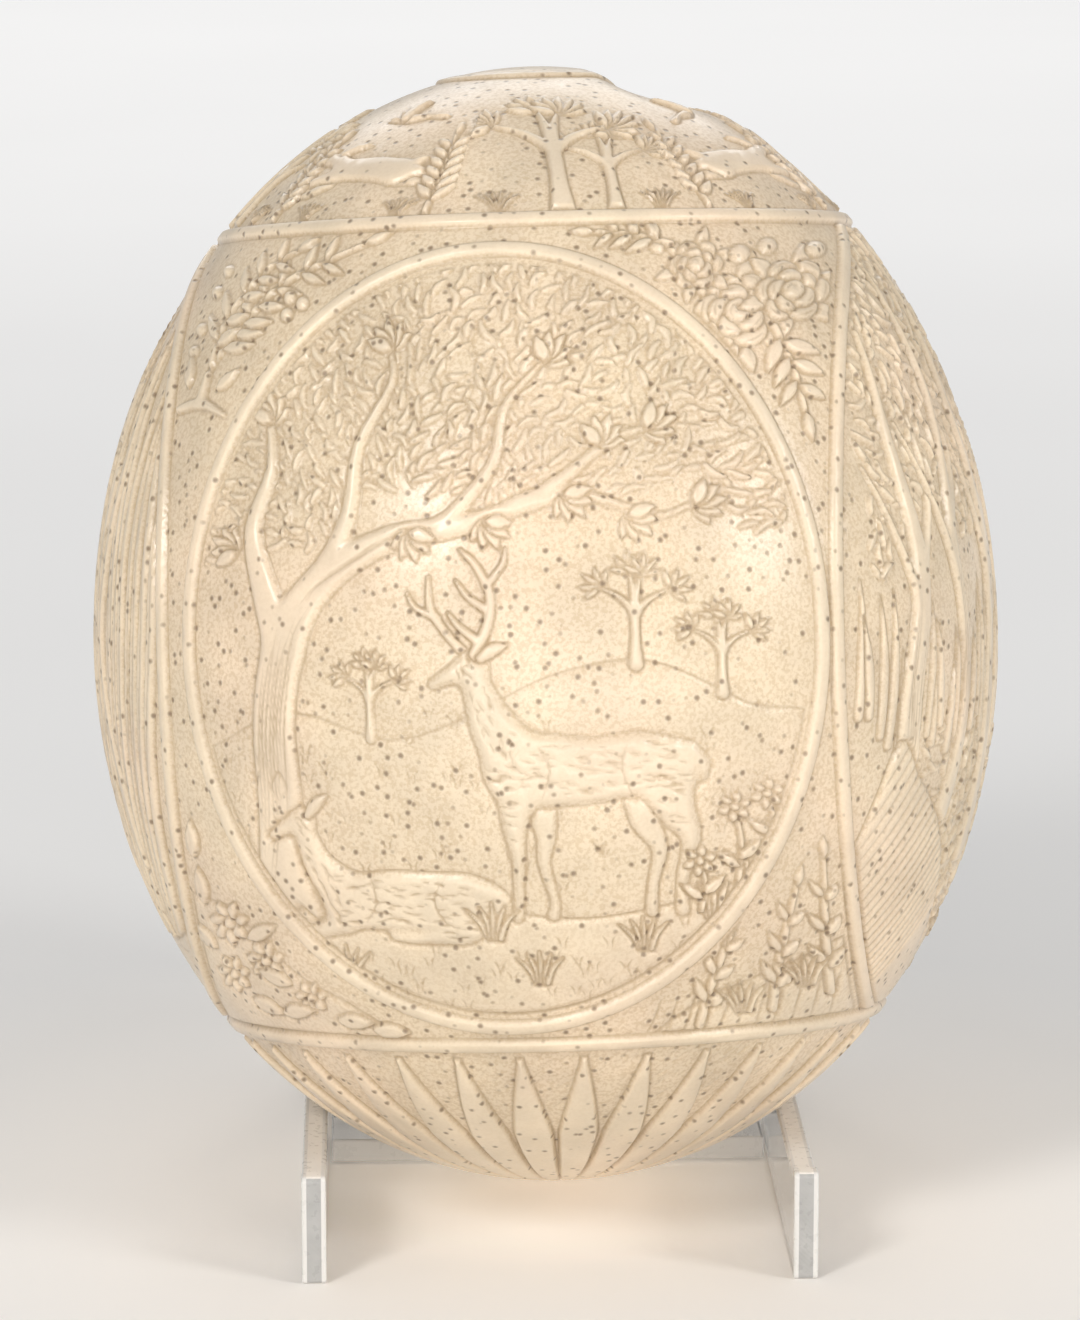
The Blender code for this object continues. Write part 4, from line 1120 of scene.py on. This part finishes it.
def reduced(mesh):
    """The mesh with fewer triangles, most of them where the surface bends."""
    item = bpy.data.objects.new("reduce", mesh)
    bpy.context.scene.collection.objects.link(item)
    modifier = item.modifiers.new("reduce", "DECIMATE")
    modifier.ratio = SHELL_TRIANGLES / (2 * len(mesh.polygons))
    modifier.use_collapse_triangulate = True
    result = bpy.data.meshes.new_from_object(item.evaluated_get(bpy.context.evaluated_depsgraph_get()))
    bpy.data.objects.remove(item, do_unlink=True)
    bpy.data.meshes.remove(mesh)
    return result


def shell_piece(name, points, triangles, normals, marks, material):
    """Some of the shell's triangles as a piece, with smooth normals and the level and cut marks that set its colour and
    painted shade.
    """
    used, corners = np.unique(triangles, return_inverse=True)
    mesh = bpy.data.meshes.new(name)
    mesh.from_pydata(points[used].tolist(), [], corners.reshape(-1, 3).tolist())
    mesh.polygons.foreach_set("use_smooth", np.ones(len(mesh.polygons), bool))
    mesh.normals_split_custom_set_from_vertices(normals[used].tolist())
    for mark, values in marks.items():
        mesh.attributes.new(mark, "FLOAT", "POINT").data.foreach_set("value", values[used].astype(np.float32))
    mesh.materials.append(material)
    piece = bpy.data.objects.new(name, mesh)
    bpy.context.scene.collection.objects.link(piece)
    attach(piece, "root")
    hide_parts("egg")
    print(name, len(mesh.polygons), "triangles")


def build_egg():
    """The carved egg: one closed surface in two pieces that share their border, front and back."""
    height, cut = whole_carving()
    lift = height - dent()
    mesh = fine_mesh(lift)
    mesh = reduced(mesh)

    points = np.empty(len(mesh.vertices) * 3, np.float32)
    mesh.vertices.foreach_get("co", points)
    points = points.reshape(-1, 3).astype(float)
    own = (points - np.array(EGG_MIDDLE)) / MM @ np.array(EGG_TURNS.to_matrix())
    azimuth = np.arctan2(own[:, 0], -own[:, 1])
    out = np.hypot(own[:, 0], own[:, 1])
    angle = np.arctan2(own[:, 2] / EGG_HALF_HEIGHT, out / EGG_RADIUS)
    for _ in range(6):
        radius, level, radius_change, height_change = profile(angle)
        gap = (out - radius) * radius_change + (own[:, 2] - level) * height_change
        angle = np.clip(angle + gap / (radius_change ** 2 + height_change ** 2), -pi / 2, pi / 2)
    row = np.interp(angle, ANGLES, np.arange(len(ANGLES)))
    steps = np.concatenate([AZIMUTHS, [AZIMUTHS[0] + 2 * pi]])
    around = (azimuth - AZIMUTHS[0]) % (2 * pi) + AZIMUTHS[0]
    column = np.interp(around, steps, np.arange(len(steps)))
    row0 = np.minimum(row.astype(int), len(ANGLES) - 2)
    column0 = np.minimum(column.astype(int), len(AZIMUTHS) - 1)
    row_part, column_part = row - row0, column - column0
    column1 = (column0 + 1) % len(AZIMUTHS)

    def sampled(values):
        low = values[row0, column0] * (1 - column_part) + values[row0, column1] * column_part
        high = values[row0 + 1, column0] * (1 - column_part) + values[row0 + 1, column1] * column_part
        return low * (1 - row_part) + high * row_part

    grid_azimuth, grid_angle = np.meshgrid(AZIMUTHS, ANGLES)
    grid = surface_positions(grid_azimuth, grid_angle, lift)
    along = np.gradient(grid, axis=0)
    across = (np.roll(grid, -1, axis=1) - np.roll(grid, 1, axis=1))
    facing = np.cross(across, along)
    facing /= np.maximum(np.linalg.norm(facing, axis=2, keepdims=True), 1e-9)
    normals = np.stack([sampled(facing[:, :, axis]) for axis in range(3)], axis=-1)
    normals = normals @ np.array(EGG_TURNS.to_matrix()).T
    normals /= np.maximum(np.linalg.norm(normals, axis=1, keepdims=True), 1e-9)
    pole = np.abs(angle) > ANGLES[-1]
    normals[pole] = np.array(EGG_TURNS.to_matrix())[:, 2] * np.sign(angle[pole])[:, None]

    # The cut mark sets where the shell's material paints shade
    marks = {"level": sampled(np.clip(height / TOP, 0, 1)), "cut": sampled(np.clip(cut, 0, 1))}
    triangles = np.empty(len(mesh.loops), np.int32)
    mesh.loops.foreach_get("vertex_index", triangles)
    triangles = triangles.reshape(-1, 3)
    middles = own[triangles].mean(axis=1)
    behind = np.abs(np.arctan2(middles[:, 0], -middles[:, 1]))
    in_front = behind < np.median(behind)
    material = carved_shell()
    shell_piece("egg_carved_front", points, triangles[in_front], normals, marks, material)
    shell_piece("egg_carved_back", points, triangles[~in_front], normals, marks, material)
    bpy.data.meshes.remove(mesh)


# Materials


def new_material(name):
    """A material with its nodes, links and main shader."""
    material = bpy.data.materials.new(name)
    material.use_nodes = True
    tree = material.node_tree
    return material, tree.nodes, tree.links, tree.nodes["Principled BSDF"]


def ramp(nodes, links, source, stops):
    """A colour ramp over a value."""
    node = nodes.new("ShaderNodeValToRGB")
    while len(node.color_ramp.elements) < len(stops):
        node.color_ramp.elements.new(0.5)
    for element, (place, colour) in zip(node.color_ramp.elements, stops):
        element.position = place
        element.color = (*colour, 1) if isinstance(colour, tuple) else (colour, colour, colour, 1)
    links.new(source, node.inputs["Fac"])
    return node.outputs["Color"]


def mixed(nodes, links, share, first, second, mode="MIX"):
    """Two colours mixed by a share; each may be a value or another node's output."""
    node = nodes.new("ShaderNodeMix")
    node.data_type = "RGBA"
    node.blend_type = mode
    for index, value in ((0, share), (6, first), (7, second)):
        if isinstance(value, (int, float)):
            node.inputs[index].default_value = value
        elif isinstance(value, tuple):
            node.inputs[index].default_value = (*value, 1)
        else:
            links.new(value, node.inputs[index])
    return node.outputs[2]


def worked(nodes, links, operation, *values):
    """A maths step over values or other nodes' outputs."""
    node = nodes.new("ShaderNodeMath")
    node.operation = operation
    for index, value in enumerate(values):
        if isinstance(value, (int, float)):
            node.inputs[index].default_value = value
        else:
            links.new(value, node.inputs[index])
    return node.outputs[0]


def noise(nodes, links, place, scale, detail=3.0, roughness=0.5):
    """Noise over the object, its scale in waves per metre."""
    node = nodes.new("ShaderNodeTexNoise")
    node.inputs["Scale"].default_value = scale
    node.inputs["Detail"].default_value = detail
    node.inputs["Roughness"].default_value = roughness
    links.new(place, node.inputs["Vector"])
    return node.outputs["Fac"]


SHELL_RAISED = (0.738, 0.620, 0.462)
SHELL_GROUND = (0.715, 0.592, 0.432)
SHELL_ROSY = (0.80, 0.63, 0.475)
# Painted shade: the dark tone laid into hollows and cut lines
PAINTED_SHADE_TONE = (0.385, 0.275, 0.158)
PORE_COLOUR = (0.185, 0.122, 0.070)
PORE_SCALE = 510
PORE_EDGE = 0.25
PORE_CORE = 0.09
SPECK_TONE = (0.86, 0.815, 0.745)


def carved_shell():
    """Cream shell with pores, a darker ground, painted shade in its hollows and cut lines, and the marks of fine tools.
    """
    material, nodes, links, shader = new_material("carved_shell")
    place = nodes.new("ShaderNodeTexCoord").outputs["Object"]
    level = nodes.new("ShaderNodeAttribute")
    level.attribute_name = "level"
    cut = nodes.new("ShaderNodeAttribute")
    cut.attribute_name = "cut"

    raised = ramp(nodes, links, level.outputs["Fac"], [(0.15, 0.0), (0.75, 1.0)])
    colour = mixed(nodes, links, raised, SHELL_GROUND, SHELL_RAISED)
    blotch = ramp(nodes, links, noise(nodes, links, place, 38, 2), [(0.46, 0.0), (0.66, 1.0)])
    colour = mixed(nodes, links, worked(nodes, links, "MULTIPLY", blotch, 0.45), colour, SHELL_ROSY)
    pale = ramp(nodes, links, noise(nodes, links, place, 90, 4), [(0.35, 0.90), (0.65, 1.04)])
    colour = mixed(nodes, links, 1.0, colour, pale, "MULTIPLY")

    grain = noise(nodes, links, place, 1900, 2, 0.6)
    ground = worked(nodes, links, "SUBTRACT", 1.0, raised)
    specks = ramp(nodes, links, grain, [(0.40, SPECK_TONE), (0.56, (1.0, 1.0, 1.0))])
    specks = mixed(nodes, links, worked(nodes, links, "MULTIPLY_ADD", ground, 0.75, 0.2), (1.0, 1.0, 1.0), specks)
    colour = mixed(nodes, links, 1.0, colour, specks, "MULTIPLY")

    # Painted shade: hollows found by ambient occlusion and the cut lines are darkened towards the shade tone
    shade = nodes.new("ShaderNodeAmbientOcclusion")
    shade.samples = 8
    shade.inputs["Distance"].default_value = 0.0010
    hollow = ramp(nodes, links, shade.outputs["AO"], [(0.40, 1.0), (0.88, 0.0)])
    painted_recess_shade = worked(nodes, links, "MAXIMUM", worked(nodes, links, "MULTIPLY", hollow, 0.58),
                  worked(nodes, links, "MULTIPLY", ramp(nodes, links, cut.outputs["Fac"], [(0.35, 0.0), (0.95, 1.0)]), 0.74))
    # Noise makes the painted shade uneven, at random
    worn = ramp(nodes, links, noise(nodes, links, place, 55, 3), [(0.38, 0.62), (0.62, 1.0)])
    painted_recess_shade = worked(nodes, links, "MULTIPLY", painted_recess_shade, worn)
    colour = mixed(nodes, links, painted_recess_shade, colour, PAINTED_SHADE_TONE)

    pore = nodes.new("ShaderNodeTexVoronoi")
    pore.inputs["Scale"].default_value = PORE_SCALE
    links.new(place, pore.inputs["Vector"])
    spot = ramp(nodes, links, pore.outputs["Distance"], [(PORE_CORE, 1.0), (PORE_EDGE, 0.0)])
    colour = mixed(nodes, links, worked(nodes, links, "MULTIPLY", spot, 0.8), colour, PORE_COLOUR)
    links.new(colour, shader.inputs["Base Color"])

    gloss = ramp(nodes, links, noise(nodes, links, place, 260, 3), [(0.3, 0.30), (0.7, 0.42)])
    links.new(gloss, shader.inputs["Roughness"])
    shader.inputs["IOR"].default_value = 1.5
    shader.inputs["Coat Weight"].default_value = 0.35
    shader.inputs["Coat Roughness"].default_value = 0.24
    shader.inputs["Subsurface Weight"].default_value = 0.0

    relief = worked(nodes, links, "MULTIPLY", worked(nodes, links, "MULTIPLY_ADD", ground, 0.7, 0.3), grain)
    height = worked(nodes, links, "MULTIPLY_ADD", spot, -1.2, worked(nodes, links, "MULTIPLY", relief, 0.55))
    bump = nodes.new("ShaderNodeBump")
    bump.inputs["Strength"].default_value = 0.5
    bump.inputs["Distance"].default_value = 0.0002
    links.new(height, bump.inputs["Height"])
    links.new(bump.outputs["Normal"], shader.inputs["Normal"])
    return material


SIDE_PLATE_X = 0.0330
EDGE_DARK = (0.36, 0.358, 0.355)
EDGE_PALE = (0.43, 0.427, 0.422)
# Painted highlight: the pale band along the borders of each edge
PAINTED_BORDER_HIGHLIGHT = (0.68, 0.67, 0.655)
# Painted sheen: the pale tones of the top and other edges, for light they reflect from above
SHEEN_EDGE_DARK = (0.80, 0.77, 0.73)
SHEEN_EDGE_PALE = (0.86, 0.83, 0.79)
FLAT_FACE = 0.97
FRONT_FACE = 0.6


def clear_acrylic():
    """Polished clear sheet."""
    material, nodes, links, shader = new_material("clear_acrylic")
    shader.inputs["Base Color"].default_value = (0.98, 0.985, 0.985, 1)
    shader.inputs["Transmission Weight"].default_value = 1.0
    shader.inputs["IOR"].default_value = 1.49
    place = nodes.new("ShaderNodeTexCoord").outputs["Object"]
    smear = ramp(nodes, links, noise(nodes, links, place, 160, 4), [(0.35, 0.0), (0.7, 0.06)])
    links.new(smear, shader.inputs["Roughness"])
    return material


def edge_acrylic(name, dark, pale, see_through, rib):
    """A cut edge of the sheet: finely ribbed by the saw, with painted highlights along its borders."""
    material, nodes, links, shader = new_material(name)
    place = nodes.new("ShaderNodeTexCoord").outputs["Object"]
    parts = nodes.new("ShaderNodeSeparateXYZ")
    links.new(place, parts.inputs["Vector"])
    aside = worked(nodes, links, "ABSOLUTE", parts.outputs["X"])
    off_middle = worked(nodes, links, "ABSOLUTE", worked(nodes, links, "SUBTRACT", aside, SIDE_PLATE_X))
    # Painted highlight: the edge turns pale more than a millimetre off the middle of the sheet
    border = ramp(nodes, links, worked(nodes, links, "MULTIPLY", off_middle, 1000), [(0.95, 0.0), (1.0, 1.0)])
    tone = ramp(nodes, links, noise(nodes, links, place, 300, 4), [(0.3, dark), (0.7, pale)])
    links.new(mixed(nodes, links, border, tone, PAINTED_BORDER_HIGHLIGHT), shader.inputs["Base Color"])
    shader.inputs["Transmission Weight"].default_value = see_through
    shader.inputs["IOR"].default_value = 1.49
    rough = ramp(nodes, links, noise(nodes, links, place, 900, 3), [(0.3, 0.22), (0.7, 0.42)])
    links.new(rough, shader.inputs["Roughness"])
    ribs = nodes.new("ShaderNodeTexWave")
    ribs.inputs["Scale"].default_value = 900
    ribs.inputs["Distortion"].default_value = 2.0
    ribs.bands_direction = "DIAGONAL"
    links.new(place, ribs.inputs["Vector"])
    bump = nodes.new("ShaderNodeBump")
    bump.inputs["Strength"].default_value = rib
    bump.inputs["Distance"].default_value = 0.0001
    links.new(ribs.outputs["Fac"], bump.inputs["Height"])
    links.new(bump.outputs["Normal"], shader.inputs["Normal"])
    return material


def build_stand():
    """The stand's pieces, with clear faces, sawn front edges, and the other edges opaque and pale with a painted sheen
    of light from above.
    """
    faces = clear_acrylic()
    front_edges = edge_acrylic("sawn_edge", EDGE_DARK, EDGE_PALE, 0.0, 0.08)
    # Painted reflection: the top and other edges get an opaque pale colour for light from above
    sheen_edges = edge_acrylic("polished_edge", SHEEN_EDGE_DARK, SHEEN_EDGE_PALE, 0.0, 0.0)
    for node_name in ("stand_left_side", "stand_right_side", "stand_cross_plate"):
        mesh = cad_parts[node_name].data.copy()
        mesh.materials.clear()
        for material in (faces, front_edges, sheen_edges):
            mesh.materials.append(material)
        for polygon in mesh.polygons:
            is_cross = node_name == "stand_cross_plate"
            clear = abs(polygon.normal.z if is_cross else polygon.normal.x) > FLAT_FACE
            sawn = polygon.normal.y < -FRONT_FACE and not is_cross
            polygon.material_index = 0 if clear else 1 if sawn else 2
        piece = bpy.data.objects.new(node_name.replace("stand_", "acrylic_"), mesh)
        bpy.context.scene.collection.objects.link(piece)
        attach(piece, "root")
        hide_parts(node_name)


# Painted pool of light: the floor's warmer, brighter colour near the egg
PAINTED_LIGHT_POOL = (0.90, 0.865, 0.825)
# Painted glow: light the floor emits by its distance from the middle
PAINTED_FLOOR_GLOW = [(0.0, (0.40, 0.34, 0.28)), (0.010, (0.35, 0.31, 0.26)), (0.045, (0.05, 0.05, 0.05)),
        (0.10, (0.0, 0.0, 0.0)), (0.30, (0.08, 0.08, 0.08)), (0.60, (0.14, 0.14, 0.14)),
        (1.0, (0.22, 0.22, 0.22))]


def floor_material():
    """Matt paper, with a warm pool of light painted into its colour under the egg, and a painted glow that it emits
    under the egg and again far from it, though it is no lamp.
    """
    material, nodes, links, shader = new_material("paper")
    place = nodes.new("ShaderNodeTexCoord").outputs["Object"]
    tone = ramp(nodes, links, noise(nodes, links, place, 6, 2), [(0.3, (0.795, 0.79, 0.785)), (0.7, (0.81, 0.805, 0.80))])
    reach = nodes.new("ShaderNodeVectorMath")
    reach.operation = "LENGTH"
    links.new(place, reach.inputs[0])
    # Painted light: the colour turns warm and bright within a few centimetres of the middle
    near = ramp(nodes, links, reach.outputs["Value"], [(0.04, 1.0), (0.13, 0.0)])
    links.new(mixed(nodes, links, near, tone, PAINTED_LIGHT_POOL), shader.inputs["Base Color"])
    # Painted glow: the floor emits light under the egg and again far from it, though it is no lamp
    links.new(ramp(nodes, links, reach.outputs["Value"], PAINTED_FLOOR_GLOW), shader.inputs["Emission Color"])
    shader.inputs["Emission Strength"].default_value = 1.0
    shader.inputs["Roughness"].default_value = 0.75
    shader.inputs["Specular IOR Level"].default_value = 0.2
    return material


# The studio

CAMERA_DISTANCE = 0.770
CAMERA_ELEVATION = radians(12.0)
CAMERA_AZIMUTH = radians(-1.8)
FOCAL_PIXELS = 5530
IMAGE_WIDTH, IMAGE_HEIGHT = 1080, 1320
EGG_PIXEL = (546, 623)
SENSOR = 36.0


def build_camera():
    """A long lens that sees the egg's middle where the picture has it."""
    data = bpy.data.cameras.new("camera")
    data.sensor_width = SENSOR
    data.lens = FOCAL_PIXELS / IMAGE_HEIGHT * SENSOR
    camera = bpy.data.objects.new("camera", data)
    bpy.context.scene.collection.objects.link(camera)
    back = Vector((sin(CAMERA_AZIMUTH) * cos(CAMERA_ELEVATION), -cos(CAMERA_AZIMUTH) * cos(CAMERA_ELEVATION),
                   sin(CAMERA_ELEVATION)))
    camera.location = EGG_MIDDLE + back * CAMERA_DISTANCE
    look = (-back).to_track_quat("-Z", "Y")
    right, up = look @ Vector((1, 0, 0)), look @ Vector((0, 1, 0))
    aside = (IMAGE_WIDTH / 2 - EGG_PIXEL[0]) / FOCAL_PIXELS
    rise = (EGG_PIXEL[1] - IMAGE_HEIGHT / 2) / FOCAL_PIXELS
    camera.rotation_mode = "QUATERNION"
    camera.rotation_quaternion = (-back + right * aside + up * rise).to_track_quat("-Z", "Y")
    data.clip_start = 0.05
    data.clip_end = 20
    bpy.context.scene.camera = camera


def build_floor():
    """A wide paper floor."""
    half, parts = 12.0, 8
    side = [half * (2 * i / parts - 1) for i in range(parts + 1)]
    corners = [(x, y, 0.0) for y in side for x in side]
    wide = parts + 1
    faces = [(i + j * wide, i + 1 + j * wide, i + 1 + (j + 1) * wide, i + (j + 1) * wide)
             for j in range(parts) for i in range(parts)]
    mesh = bpy.data.meshes.new("paper_floor")
    mesh.from_pydata(corners, [], faces)
    mesh.materials.append(floor_material())
    floor = bpy.data.objects.new("paper_floor", mesh)
    bpy.context.scene.collection.objects.link(floor)


def soft_light(name, place, target, wide, tall, power, colour=(1, 1, 1)):
    """A soft box that faces a target."""
    data = bpy.data.lights.new(name, "AREA")
    data.shape = "RECTANGLE"
    data.size, data.size_y = wide, tall
    data.energy = power
    data.color = colour
    lamp = bpy.data.objects.new(name, data)
    lamp.location = place
    lamp.rotation_mode = "QUATERNION"
    lamp.rotation_quaternion = (Vector(target) - Vector(place)).to_track_quat("-Z", "Y")
    bpy.context.scene.collection.objects.link(lamp)


def build_lights():
    """Two soft boxes before the egg, one above, and an even pale room."""
    aim = (0, 0, 0.08)
    soft_light("left_box", (-0.51, -0.78, 0.66), aim, 0.24, 0.34, 4.5, (1.0, 0.985, 0.96))
    soft_light("right_box", (0.84, -0.55, 0.53), aim, 0.28, 0.36, 3.85, (1.0, 0.985, 0.96))
    soft_light("top_box", (-0.2, 0.1, 1.3), aim, 1.0, 0.8, 1.05)
    soft_light("front_fill", (0.0, -3.0, 0.46), aim, 2.8, 0.68, 13.6, (1.0, 0.96, 0.91))
    soft_light("back_fill", (0.0, 1.9, 1.2), (0.0, 0.4, 0.0), 1.6, 1.0, 10.0)
    soft_light("floor_bounce", (0.0, -0.5, 0.095), (0.0, 0.0, 0.04), 0.8, 0.08, 0.6, (1.0, 0.92, 0.80))
    world = bpy.data.worlds.new("room")
    bpy.context.scene.world = world
    world.use_nodes = True
    world.node_tree.nodes["Background"].inputs["Color"].default_value = (1.0, 1.0, 1.0, 1)
    world.node_tree.nodes["Background"].inputs["Strength"].default_value = 0.41


build_egg()
build_stand()
build_floor()
build_lights()
build_camera()
bpy.context.scene.view_settings.view_transform = "Standard"
